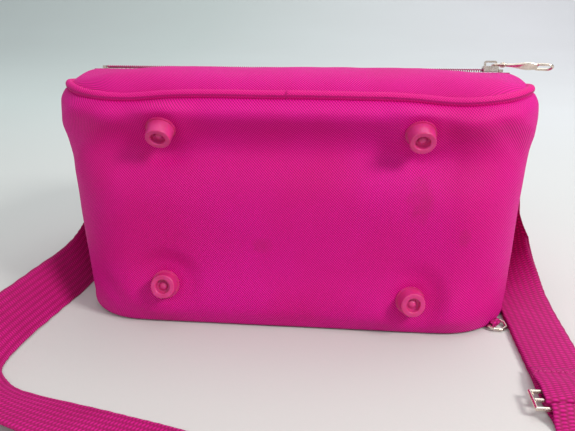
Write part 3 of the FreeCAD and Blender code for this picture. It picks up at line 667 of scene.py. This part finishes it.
def twill_material(name, lit, gap_shade, smudges=()):
    """Fine diagonal twill of bright polyester yarn, with painted shade in the gaps between yarns and faint
    rubbed marks.
    """
    twill = Finish(name, roughness=0.6)
    along, up = twill.flat_cloth()
    diagonal = twill.math("ADD", twill.math("MULTIPLY", along, 0.86), twill.math("MULTIPLY", up, 1.0))
    counter = twill.math("SUBTRACT", along, twill.math("MULTIPLY", up, 0.7))
    rib = twill.wave(diagonal, TWILL_PITCH)
    step = twill.wave(counter, TWILL_PITCH * 0.92)
    yarn = twill.math("ADD", twill.math("MULTIPLY", rib, 0.6), twill.math("MULTIPLY", step, 0.4))
    fuzz = twill.noise(1500.0, 2.0)
    patch = twill.ramp(twill.noise(14.0, 4.0), 0.3, 0.7)
    tone = twill.mix(patch, lit, linear(228, 0, 142))
    # Painted shade: the gaps between the twill's yarns take the dark colour.
    share = twill.math("MULTIPLY", twill.ramp(yarn, 0.15, 0.75), twill.ramp(fuzz, 0.2, 0.6, 0.72, 1.0))
    tone = twill.mix(share, gap_shade, tone)
    place = twill.node("SeparateXYZ", {0: twill.place()})
    for x, z, wide, tall, strength in smudges:
        near_x = twill.math("MULTIPLY", twill.math("SUBTRACT", place.outputs[0], x), 1 / wide)
        near_z = twill.math("MULTIPLY", twill.math("SUBTRACT", place.outputs[2], z), 1 / tall)
        off = twill.math("ADD", twill.math("POWER", near_x, 2.0), twill.math("POWER", near_z, 2.0))
        ragged = twill.math("ADD", off, twill.ramp(twill.noise(110.0, 3.0), 0.3, 0.7, -0.7, 0.7))
        mark = twill.ramp(ragged, 0.2, 1.4, strength, 0.0)
        front = twill.ramp(place.outputs[1], -0.10, -0.09, 1.0, 0.0)
        tone = twill.mix(twill.math("MULTIPLY", mark, front), tone, linear(150, 24, 66))
    height = twill.math("ADD", yarn, twill.math("MULTIPLY", fuzz, 0.3))
    twill.set(Sheen_Weight=0.22, Sheen_Roughness=0.4, Sheen_Tint=linear(255, 70, 190))
    twill.shader.inputs["Specular IOR Level"].default_value = 0.22
    return twill.finish(tone, twill.bump(height, 0.00022), twill.ramp(yarn, 0.0, 1.0, 0.72, 0.52))


# The second colour is the painted shade in the gaps between the twill's yarns.
body_finish = twill_material("body_cloth", linear(240, 0, 164), linear(146, 0, 74), (
    (0.089, 0.099, 0.009, 0.014, 0.28), (0.119, 0.073, 0.004, 0.008, 0.24),
    (-0.0175, 0.064, 0.006, 0.006, 0.2)))

base_and_sides = wall_cloth("base_and_side_cloth", -STRIP_SEAM, STRIP_SEAM, 356, 84,
                            lambda x, y: BACK_SEAM_HEIGHT, front_seam_height)
fit(base_and_sides, body_finish, "bag", "body_cloth", "base_and_sides")


# ---- Top strips ----
# The top closes with a zip between two strips of the same twill. They are sewn to the side
# walls near the corners and to each other beyond the zip's ends.

ZIP_HALF_WIDTH = 0.0127
TOP_ZIP_Z = 0.066
TOP_ZIP_HALF = 0.112


def zip_side(x):
    """Half the gap between the strips: the zip's width, closing just beyond its ends."""
    return 0.0001 + ZIP_HALF_WIDTH * (1 - smooth_step(abs(x), TOP_ZIP_HALF, TOP_ZIP_HALF + 0.0025))


def strip_gap(x, y):
    """Half the gap on the bag's top face; round the corners the strips meet."""
    return zip_side(x) if y > 0.115 else 0.0001


for name, low, high in (
        ("front", lambda x, y: TOP_ZIP_Z + strip_gap(x, y), front_seam_height),
        ("back", lambda x, y: BACK_SEAM_HEIGHT, lambda x, y: TOP_ZIP_Z - strip_gap(x, y))):
    strip = wall_cloth("top_strip_cloth_" + name, STRIP_SEAM + 0.0003, AROUND - STRIP_SEAM - 0.0003, 240, 26,
                       low, high)
    fit(strip, body_finish, "bag", "body_cloth", "top_strip_" + name)


# ---- Back panel ----
# A padded panel of the same twill closes the back and lies on the table. Its rim is rounded and
# tucked inside the walls, where it is sewn to their turned edges.

def back_half_width(y, inset):
    """Half the panel's width at that height up the bag."""
    reach = CORNER - inset
    over = max(abs(y) - (TOP_Y - CORNER), 0.0)
    return HALF_BACK - CORNER + math.sqrt(max(reach ** 2 - over ** 2, 0.0))


def back_cloth():
    points, faces, uv = [], [], []
    rows, columns, inset, rim, seam_z = 80, 100, 0.0065, 0.012, 0.0031
    reach = TOP_Y - inset
    for face in (0, 1):
        for i in range(rows + 1):
            y = -reach * math.cos(math.pi * i / rows)
            half = back_half_width(y, inset)
            for j in range(columns + 1):
                x = -half * math.cos(math.pi * j / columns)
                side = half - abs(x)
                off = min(side, reach - abs(y), rim)
                plump = math.sqrt(max(1 - (1 - off / rim) ** 2, 0.0))
                ripple = 0.0004 * noise.noise(Vector((x * 24, y * 24, 9.1))) * plump
                z = seam_z - 0.0029 * plump + abs(ripple) * 0.5 if face == 0 else seam_z + 0.0026 * plump
                points.append((x, y, max(z, 0.0001)))
                uv.append((x, y))
    count = (rows + 1) * (columns + 1)
    for i in range(rows):
        for j in range(columns):
            a, b = i * (columns + 1) + j, (i + 1) * (columns + 1) + j
            faces.append((a, b, b + 1, a + 1))
            faces.append((count + a + 1, count + b + 1, count + b, count + a))
    piece = new_mesh_piece("back_cloth", points, faces, uv)
    weld = piece.modifiers.new("rim", "WELD")
    weld.merge_threshold = 0.00002
    return piece


back_piece = fit(back_cloth(), body_finish, "bag", "body_cloth", "back_panel")


# ---- Padded front panel ----
# Foam-backed twill, crowned 20 mm above its seam. A zip across it opens the front pocket, and
# short bridges of cloth close the panel beyond the zip's ends.

CROWN = 0.020
RIM_INSET = 0.0062
FRONT_LENGTH = math.hypot(0.240, FRONT_FALL)
POCKET_ZIP_U = 0.075
POCKET_ZIP_HALF = 0.152


def on_front(x, u, h):
    """From the front panel's own plane, u from the base edge and h above it."""
    return Vector((x, BASE_Y + u * math.cos(SLOPE) + h * math.sin(SLOPE),
                   DEPTH - u * math.sin(SLOPE) + h * math.cos(SLOPE)))


def front_half_width(u, inset=RIM_INSET):
    over = max(CORNER - u, u - (FRONT_LENGTH - CORNER), 0.0)
    return HALF_FRONT - CORNER + math.sqrt(max((CORNER - inset) ** 2 - over ** 2, 0.0))


def rim_distance(x, u):
    """How far a place on the front panel is inside its rim."""
    px = abs(x) - (HALF_FRONT - CORNER)
    pu = abs(u - FRONT_LENGTH / 2) - (FRONT_LENGTH / 2 - CORNER)
    outside = math.hypot(max(px, 0.0), max(pu, 0.0)) + min(max(px, pu), 0.0)
    return CORNER - RIM_INSET - outside


def pad_plump(x, u):
    """0 at the rim to 1 on the crown; rounder at the corners and tighter beside the zip."""
    near_zip = 1 - smooth_step(abs(u - POCKET_ZIP_U), 0.016, 0.050)
    soft = 0.032 if u < FRONT_LENGTH / 2 else 0.026
    soft += 0.008 * smooth_step(abs(x), 0.10, 0.15)
    reach = soft + (0.016 - soft) * near_zip * smooth_step(abs(x), 0.09, 0.14)
    share = min(max(rim_distance(x, u), 0.0) / reach, 1.0)
    return (1 - (1 - share) ** 2) ** 0.54


def pad_point(x, u):
    plump, off = pad_plump(x, u), max(rim_distance(x, u), 0.0)
    from_zip = abs(u - POCKET_ZIP_U) - ZIP_HALF_WIDTH
    away = smooth_step(from_zip, 0.0, 0.020)
    roll = 0.0014 * math.exp(-max(from_zip, 0.0) / 0.002) if abs(x) < POCKET_ZIP_HALF + 0.004 else 0.0
    crown = CROWN + 0.0012 * smooth_step(off, 0.01, 0.05) * smooth_step(abs(from_zip), 0.0, 0.03) - roll
    crown -= 0.0030 * smooth_step(abs(x), 0.08, 0.14) * hump(u, 0.036, 0.020)
    ripple = 0.0008 * noise.noise(Vector((x * 17, u * 21, 3.3)))
    ripple += 0.00025 * noise.noise(Vector((x * 80, u * 60, 8.8)))
    pull = 0.0005 * math.sin(2 * math.pi * x / 0.031 + 1.3 * math.sin(x * 40)) * math.exp(-off / 0.012)
    seam = on_front(x, u, 0.0)
    seam.z = front_seam_height(x, seam.y) + 0.0004
    lift = (ripple * smooth_step(off, 0.0, 0.02) + pull * plump) * away
    return seam.lerp(on_front(x, u, crown), plump) + Vector((0, 0, lift))


def pad_cloth(name, node, u_from, u_to, x_from=None, side=0, rows=60, columns=150):
    """A piece of the pad: its whole width, or only beyond x_from on one side."""
    points, uv = [], []
    for i in range(rows + 1):
        share = i / rows
        if side:
            eased = share
        elif u_from < 0.02:
            eased = share ** 1.7
        else:
            eased = 1 - (1 - share) ** 1.5
        u = u_from + (u_to - u_from) * eased
        half = front_half_width(u)
        for j in range(columns + 1):
            if side:
                x = side * (x_from + (half - x_from) * math.sin(math.pi / 2 * j / columns))
            else:
                x = -half * math.cos(math.pi * j / columns)
            points.append(pad_point(x, u))
            last = i * (columns + 1) + j - columns - 1
            length = uv[last][1] + (points[-1] - points[last]).length if i else 0.0
            uv.append((x, length))
    piece = thicken(new_mesh_piece(name, points, grid_faces(rows, columns, side >= 0), uv), "foam", 0.003)
    fit(piece, body_finish, "bag", "body_cloth", node)


zip_low, zip_high = POCKET_ZIP_U - ZIP_HALF_WIDTH, POCKET_ZIP_U + ZIP_HALF_WIDTH
pad_cloth("front_pad_lower", "front_panel_lower", RIM_INSET, zip_low)
pad_cloth("front_pad_upper", "front_panel_upper", zip_high, FRONT_LENGTH - RIM_INSET, rows=90)
for side, name in ((-1, "left"), (1, "right")):
    pad_cloth("front_pad_bridge_" + name, "front_panel_zip_ends", zip_low + 0.0001, zip_high - 0.0001,
              POCKET_ZIP_HALF, side, rows=16, columns=24)


# ---- Piping ----
# A soft cord wrapped in a bias strip of the twill. It is sewn into the seam between the front
# panel and the walls, all the way round.

PIPING_RADIUS = 0.0031


def round_front(s, inset=0.0):
    """A place on the front seam, s metres round from the base's middle."""
    reach, side_run = CORNER - inset, FRONT_LENGTH - 2 * CORNER
    arc = reach * math.pi / 2
    total = 2 * (2 * STRAIGHT + 2 * arc + side_run)
    s = s % total
    side = 1
    if s > total / 2:
        s, side = total - s, -1
    if s < STRAIGHT:
        x, u = s, inset
    elif s < STRAIGHT + arc:
        turn = (s - STRAIGHT) / reach
        x, u = STRAIGHT + reach * math.sin(turn), CORNER - reach * math.cos(turn)
    elif s < STRAIGHT + arc + side_run:
        x, u = HALF_FRONT - inset, CORNER + s - STRAIGHT - arc
    elif s < STRAIGHT + 2 * arc + side_run:
        turn = (s - STRAIGHT - arc - side_run) / reach
        x, u = STRAIGHT + reach * math.cos(turn), FRONT_LENGTH - CORNER + reach * math.sin(turn)
    else:
        x, u = STRAIGHT - (s - STRAIGHT - 2 * arc - side_run), FRONT_LENGTH - inset
    return x * side, u, total


def piping_cord():
    total = round_front(0.0, SEAM_INSET)[2]
    steps, sides = 620, 16
    points, uv = [], []
    up = Vector((0, math.sin(SLOPE), math.cos(SLOPE)))
    for i in range(steps):
        s = total * i / steps
        here, after = [on_front(*round_front(s + d, SEAM_INSET)[:2], 0.0) for d in (0.0, 0.001)]
        for point in (here, after):
            point.z = front_seam_height(point.x, point.y) + 0.0012
        out = (after - here).normalized().cross(up)
        sway = 0.00035 * noise.noise(Vector((s * 30, 2.2, 0.0)))
        thick = PIPING_RADIUS * (1 + 0.05 * noise.noise(Vector((s * 70, 0.5, 4.0))))
        for j in range(sides):
            turn = 2 * math.pi * j / sides
            points.append(here + out * (thick * math.cos(turn) + sway) + up * (thick * math.sin(turn) - sway))
            uv.append((s, turn * thick))
    return new_mesh_piece("front_piping_cord", points, tube_faces(steps, sides, closed=True, flip=True), uv)


# The piping's second colour is the painted shade in the gaps between its yarns.
fit(piping_cord(), twill_material("piping_cloth", linear(240, 12, 146), linear(160, 0, 78)), "bag",
    "piping_cloth", "front_piping")


# ---- Zips ----
# Each zip is a nylon coil woven onto two herringbone tapes, with a stop crimped on each end. The
# tapes are stitched to the cloth beside them, and the metal slider hangs a leaf-shaped puller.

TAPE_WIDTH = 0.0116
TAPE_GAP = 0.0014
COIL_PITCH = 0.0016


def on_top(x, u, h):
    """From the top zip's own plane: u towards the back panel and h out of the top face."""
    return Vector((x, TOP_Y + h, TOP_ZIP_Z - u))


def on_pocket(x, u, h):
    return on_front(x, POCKET_ZIP_U + u, CROWN + h)


def tape_material():
    """Tightly woven nylon tape in narrow herringbone columns, with painted shade in the weave's low lines."""
    tape = Finish("zip_tape", roughness=0.55)
    along, across = tape.flat_cloth()
    column = tape.wave(across, 0.0028)
    lean = tape.math("MULTIPLY_ADD", column, 0.0011, 0.5)
    bone = tape.wave(tape.math("ADD", along, lean), 0.0009)
    # Painted shade: the darker colour follows the weave's low lines, the same wave as the bump.
    tone = tape.mix(bone, linear(120, 0, 62), linear(186, 10, 104))
    tape.set(Sheen_Weight=0.25, Sheen_Roughness=0.4)
    return tape.finish(tone, tape.bump(bone, 0.0002))


def coil_material():
    """Glossy moulded nylon wire with a fine drawn grain."""
    coil = Finish("zip_coil_nylon", roughness=0.32)
    grain = coil.noise(900.0, 2.0)
    tone = coil.mix(grain, linear(150, 0, 78), linear(196, 20, 116))
    return coil.finish(tone, coil.bump(grain, 0.00006), coil.ramp(grain, 0.2, 0.8, 0.25, 0.42))


tape_finish = tape_material()
coil_finish = coil_material()


def zip_tape(name, place, half, side):
    points, uv = [], []
    columns, rows = 160, 12
    for i in range(columns + 1):
        x = -half + 0.0003 + (2 * half - 0.0006) * i / columns
        for j in range(rows + 1):
            across = j / rows
            u = side * (TAPE_GAP / 2 + 0.0002 + TAPE_WIDTH * across)
            bead = 0.00045 * hump(across, 0.12, 0.07)
            wave = 0.0002 * noise.noise(Vector((x * 60, u * 90, 6.6)))
            points.append(place(x, u, -0.0007 + bead + wave))
            uv.append((x, TAPE_WIDTH * across))
    return thicken(new_mesh_piece(name, points, grid_faces(columns, rows, side < 0), uv), "tape", 0.0006)


def zip_turns(name, place, half):
    """The closed coil: one wire wound in flat turns."""
    inside = half - 0.006
    turns, steps, sides, wire = int(2 * inside / COIL_PITCH), 12, 6, 0.00042
    line = []
    for i in range(turns * steps + 1):
        turn = 2 * math.pi * i / steps
        x = -inside + COIL_PITCH * i / steps
        line.append((x, 0.0022 * math.cos(turn), 0.0012 + 0.00072 * math.sin(turn)))
    points = []
    for i, (x, u, h) in enumerate(line):
        turn = 2 * math.pi * i / steps
        out = Vector((0.0, math.cos(turn), math.sin(turn)))
        for j in range(sides):
            spin = 2 * math.pi * j / sides
            points.append(place(x + wire * math.sin(spin), u + out.y * wire * math.cos(spin),
                                h + out.z * wire * math.cos(spin)))
    return new_mesh_piece(name, points, tube_faces(len(line), sides))


for name, place, half in (("pocket", on_pocket, POCKET_ZIP_HALF), ("main", on_top, TOP_ZIP_HALF)):
    for side, end, edge in ((1, "far", "upper"), (-1, "near", "lower")):
        tape_piece = zip_tape(name + "_tape_" + end, place, half, side)
        fit(tape_piece, tape_finish, "bag", "zip_tape", name + "_zip_tape_" + edge)
    coil_piece = zip_turns(name + "_coil_turns", place, half)
    fit(coil_piece, coil_finish, "bag", "zip_coil_nylon", name + "_zip_coil")

STITCH_FROM_EDGE = 0.0030
STITCH_PITCH = 0.0032
STITCH_LENGTH = 0.0024
stitched_half = POCKET_ZIP_HALF - 0.002
stitch_runs = []
for u in (zip_low - STITCH_FROM_EDGE, zip_high + STITCH_FROM_EDGE):
    for i in range(int(2 * stitched_half / STITCH_PITCH)):
        x = -stitched_half + STITCH_PITCH * i
        out = on_front(x, u, 1.0) - on_front(x, u, 0.0)
        stitch_runs.append(stitch(pad_point(x, u), pad_point(x + STITCH_LENGTH, u), out, 0.00022))
fit(thread_piece("pocket_zip_stitches", stitch_runs, 0.0002, sides=5), thread_finish, "bag", "body_cloth")


# ---- Metal fittings ----
# Sliders, links, stops, rings, the adjuster and the corner ring are champagne plated zinc and
# steel, softly polished, with fine rub marks. The washers inside the base are plain steel.

def plated_material(name, tone, dull, roughness):
    """Plated metal with faint rub marks and duller patches."""
    metal = Finish(name, roughness=roughness, metallic=1.0)
    patch = metal.ramp(metal.noise(160.0, 3.0), 0.35, 0.7)
    rub = metal.noise(1400.0, 2.0)
    colour = metal.mix(patch, tone, dull)
    gloss = metal.ramp(rub, 0.2, 0.8, roughness - 0.06, roughness + 0.12)
    return metal.finish(colour, metal.bump(rub, 0.000008), gloss)


metal_finish = plated_material("metal_champagne", linear(232, 222, 208), linear(206, 192, 176), 0.22)
steel_finish = plated_material("washer_steel", linear(170, 172, 176), linear(120, 120, 124), 0.38)


def dress(nodes, material):
    """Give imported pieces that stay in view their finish."""
    for node in nodes:
        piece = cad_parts[node]
        piece.data.materials.clear()
        piece.data.materials.append(material)


dress(["pocket_zip_stops", "pocket_zip_slider", "pocket_zip_link", "main_zip_stops", "main_zip_slider",
       "main_zip_link", "side_ring_left", "side_ring_right", "strap_adjuster", "corner_ring"], metal_finish)
dress(["foot_washers"], steel_finish)


# ---- Zip pullers ----
# Each puller is die cast: a barrel on the wire link, a leaf-shaped body with a raised oval set
# with dark enamel, and an oblong finger loop. The pocket's puller has rolled towards the base.

PULLER_LENGTH = 0.036
LINK_HEIGHT = 0.00525
LOOP_WIRE = 0.0010
LOOP_START = 0.0232
LOOP_HALF_WIDTH = 0.0038
OVAL_MIDDLE = 0.0175


def puller_pieces(name, place, hinge_x, droop, roll, body, node):
    """A puller's metal and its inlay, drooped from its link and rolled about its own length."""
    def put(along, across, out):
        turn = roll * smooth_step(along, 0.002, 0.020)
        b = across * math.cos(turn) - out * math.sin(turn)
        c = across * math.sin(turn) + out * math.cos(turn)
        return place(hinge_x + along * math.cos(droop) + c * math.sin(droop), -b,
                     LINK_HEIGHT - along * math.sin(droop) + c * math.cos(droop))

    def wire_loop(path, thick, sides=12):
        """Round wire along a closed path of (along, across, out) points."""
        points = []
        count = len(path)
        for i, here in enumerate(path):
            here = Vector(here)
            forward = (Vector(path[(i + 1) % count]) - Vector(path[i - 1])).normalized()
            across = forward.cross(Vector((0, 0, 1))).normalized()
            other = across.cross(forward)
            for j in range(sides):
                turn = 2 * math.pi * j / sides
                points.append(put(*(here + across * thick * math.cos(turn) + other * thick * math.sin(turn))))
        return points, tube_faces(count, sides, closed=True)

    points, faces = [], []

    def add(part):
        first = len(points)
        points.extend(part[0])
        faces.extend([tuple(first + v for v in face) for face in part[1]])

    barrel_points, spokes = [], 20
    sections = [(-0.0027, 0.0009), (-0.0027, 0.0016), (-0.0024, 0.0019), (0.0024, 0.0019), (0.0027, 0.0016),
                (0.0027, 0.0009)]
    for across, radius in sections:
        for j in range(spokes):
            turn = 2 * math.pi * j / spokes
            barrel_points.append(put(radius * math.cos(turn), across, radius * math.sin(turn)))
    add((barrel_points, tube_faces(len(sections), spokes, closed=True)))

    leaf_points = []
    rows, sides = 26, 24
    for i in range(rows + 1):
        share = i / rows
        along = 0.0012 + LOOP_START * share
        half = 0.0023 + 0.0030 * math.sin(math.pi * min(share / 0.72, 1.0) / 2) ** 1.4
        half -= 0.0012 * smooth_step(share, 0.70, 1.0)
        thick = 0.00105 + 0.00035 * math.sin(math.pi * share)
        for j in range(sides):
            turn = 2 * math.pi * j / sides
            across, out = math.cos(turn), math.sin(turn)
            across = math.copysign(abs(across) ** 0.75, across) * half
            out = math.copysign(abs(out) ** 0.7, out) * thick
            leaf_points.append(put(along, across, out))
    add((leaf_points, tube_faces(rows + 1, sides, capped=True)))

    loop = []
    end = PULLER_LENGTH - LOOP_WIRE - LOOP_HALF_WIDTH
    for i in range(17):
        turn = math.pi * i / 16 - math.pi / 2
        loop.append((end + LOOP_HALF_WIDTH * math.cos(turn), LOOP_HALF_WIDTH * math.sin(turn), 0.0))
    for i in range(17):
        turn = math.pi * i / 16 + math.pi / 2
        along = LOOP_START + 0.002 + LOOP_HALF_WIDTH * 0.6 * math.cos(turn)
        loop.append((along, LOOP_HALF_WIDTH * math.sin(turn), 0.0))
    add(wire_loop(loop, LOOP_WIRE))

    def oval(length, width, low, high):
        """A low oval mound on the leaf."""
        mound_points, rings, spokes = [], 7, 28
        for i in range(rings + 1):
            share = i / rings
            out = low + (high - low) * math.sqrt(max(1 - share ** 4, 0.0))
            for j in range(spokes):
                turn = 2 * math.pi * j / spokes
                along = OVAL_MIDDLE + length * share * math.cos(turn)
                mound_points.append(put(along, width * share * math.sin(turn), out))
        return mound_points, tube_faces(rings + 1, spokes, flip=True)

    add(oval(0.0050, 0.0034, 0.0006, 0.0024))
    fit(new_mesh_piece(name, points, faces), metal_finish, body, "metal_champagne", node)
    inlay = new_mesh_piece(name + "_enamel", *oval(0.0032, 0.0020, 0.0018, 0.00275))
    fit(inlay, enamel_finish, body, "metal_champagne", node)


def enamel_material():
    """Glossy dark maroon enamel with faint depth."""
    enamel = Finish("puller_enamel", roughness=0.15)
    cloud = enamel.noise(500.0, 2.0)
    enamel.set(Coat_Weight=0.6, Coat_Roughness=0.05)
    tone = enamel.mix(cloud, linear(52, 4, 22), linear(92, 12, 44))
    return enamel.finish(tone, enamel.bump(cloud, 0.00002))


enamel_finish = enamel_material()
puller_pieces("pocket_puller_leaf", on_pocket, 0.14885, math.radians(2.4), math.radians(24), "pocket_puller",
              "pocket_zip_puller")
puller_pieces("main_puller_leaf", on_top, 0.10885, 0.0, 0.0, "main_puller", "main_zip_puller")


# ---- Feet ----
# Four soft plastic studs, moulded in pink with a ring-shaped tip, riveted through the base and
# its board. The rivet's domed head sits in each foot's recess.

def foot_material():
    """Soft moulded plastic that lets a little light in, with a fine matt grain."""
    plastic = Finish("foot_plastic", roughness=0.42)
    grain = plastic.noise(700.0, 3.0)
    blotch = plastic.ramp(plastic.noise(90.0, 3.0), 0.3, 0.7)
    colour = plastic.mix(blotch, linear(210, 50, 128), linear(188, 28, 104))
    plastic.set(Subsurface_Weight=0.25, Subsurface_Scale=0.004, Coat_Weight=0.15, Coat_Roughness=0.3)
    return plastic.finish(colour, plastic.bump(grain, 0.00008), plastic.ramp(grain, 0.2, 0.8, 0.37, 0.52))


dress(list(FEET) + ["foot_rivets"], foot_material())


# ---- Corner ring's tab ----
# A narrow loop of ribbed webbing, folded round the small wire ring. Its ends are sewn in under
# the base's right corner.

OUTWARDS = Vector((math.cos(math.radians(-40)), math.sin(math.radians(-40)), 0.0))
ACROSS = Vector((-OUTWARDS.y, OUTWARDS.x, 0.0))
TAB_BAR = Vector((0.148302, -0.100139, 0.0029))
tab_turn = 0.0021
tab_line = [TAB_BAR - OUTWARDS * (0.013 * (1 - i / 8)) + Vector((0, 0, -tab_turn)) for i in range(8)]
for i in range(13):
    turn = math.pi * i / 12
    level = Vector((0, 0, -tab_turn * math.cos(turn)))
    tab_line.append(TAB_BAR + OUTWARDS * (tab_turn * math.sin(turn)) + level)
tab_line.append(TAB_BAR - OUTWARDS * 0.001 + Vector((0, 0, tab_turn)))
corner_tab = webbing("corner_tab_fold", tab_line, [ACROSS] * len(tab_line), width=0.011, thickness=0.0013,
                     cords=3, relief=0.00025, across=14, wander=0.0)
fit(corner_tab, strap_finish, "bag", "strap_webbing", "corner_tab")


# ---- Inside: base board and pocket wall ----
# A fibre board stiffens the base under the feet. A taut sheet of lining splits the front pocket
# from the main compartment.

def board_material():
    """Pressed grey fibre board with dark flecks."""
    board = Finish("stiffener_board", roughness=0.85)
    fibre = board.noise(380.0, 5.0)
    tone = board.mix(fibre, linear(96, 92, 88), linear(150, 146, 140))
    return board.finish(tone, board.bump(fibre, 0.0002))


def lining_material():
    """Thin plain-woven polyester lining, with painted shade where the yarns dip."""
    lining = Finish("lining_cloth", roughness=0.5)
    along, up = lining.flat_cloth()
    weave = lining.math("MULTIPLY", lining.wave(along, 0.0007), lining.wave(up, 0.0007))
    # Painted shade: the darker colour lies where the weave's yarns dip, the same wave as the bump.
    tone = lining.mix(weave, linear(120, 10, 64), linear(196, 40, 120))
    return lining.finish(tone, lining.bump(weave, 0.0001))


def pocket_wall():
    points, uv = [], []
    rows, columns, inset = 60, 84, 0.0072
    u_from, u_to = inset, FRONT_LENGTH - inset
    for i in range(rows + 1):
        u = u_from + (u_to - u_from) * (0.5 - 0.5 * math.cos(math.pi * i / rows))
        half = front_half_width(u, inset)
        for j in range(columns + 1):
            x = -half * math.cos(math.pi * j / columns)
            sag = 0.0009 * math.cos(math.pi * x / (2 * half + 0.001))
            sag *= math.sin(math.pi * (u - u_from) / (u_to - u_from))
            points.append(on_front(x, u, -0.0022 - sag))
            uv.append((x, u))
    piece = new_mesh_piece("pocket_wall_lining", points, grid_faces(rows, columns, True), uv)
    return thicken(piece, "lining", 0.0006)


def curved_board():
    """The board follows the cloth's sag between the feet."""
    low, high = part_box("base_board")
    points = []
    columns, rows = 90, 56
    for i in range(columns + 1):
        x = low.x + (high.x - low.x) * i / columns
        for j in range(rows + 1):
            z = low.z + (high.z - low.z) * j / rows
            face = wall_point(x * STRAIGHT / (HALF_BACK - CORNER), z)
            points.append((x, face.y + 0.0055, z))
    return thicken(new_mesh_piece("base_stiffener", points, grid_faces(columns, rows)), "board", 0.002)


fit(curved_board(), board_material(), "bag", "stiffener_board", "base_board")
lining_sheet = fit(pocket_wall(), lining_material(), "bag", "lining_cloth", "pocket_inner_wall")
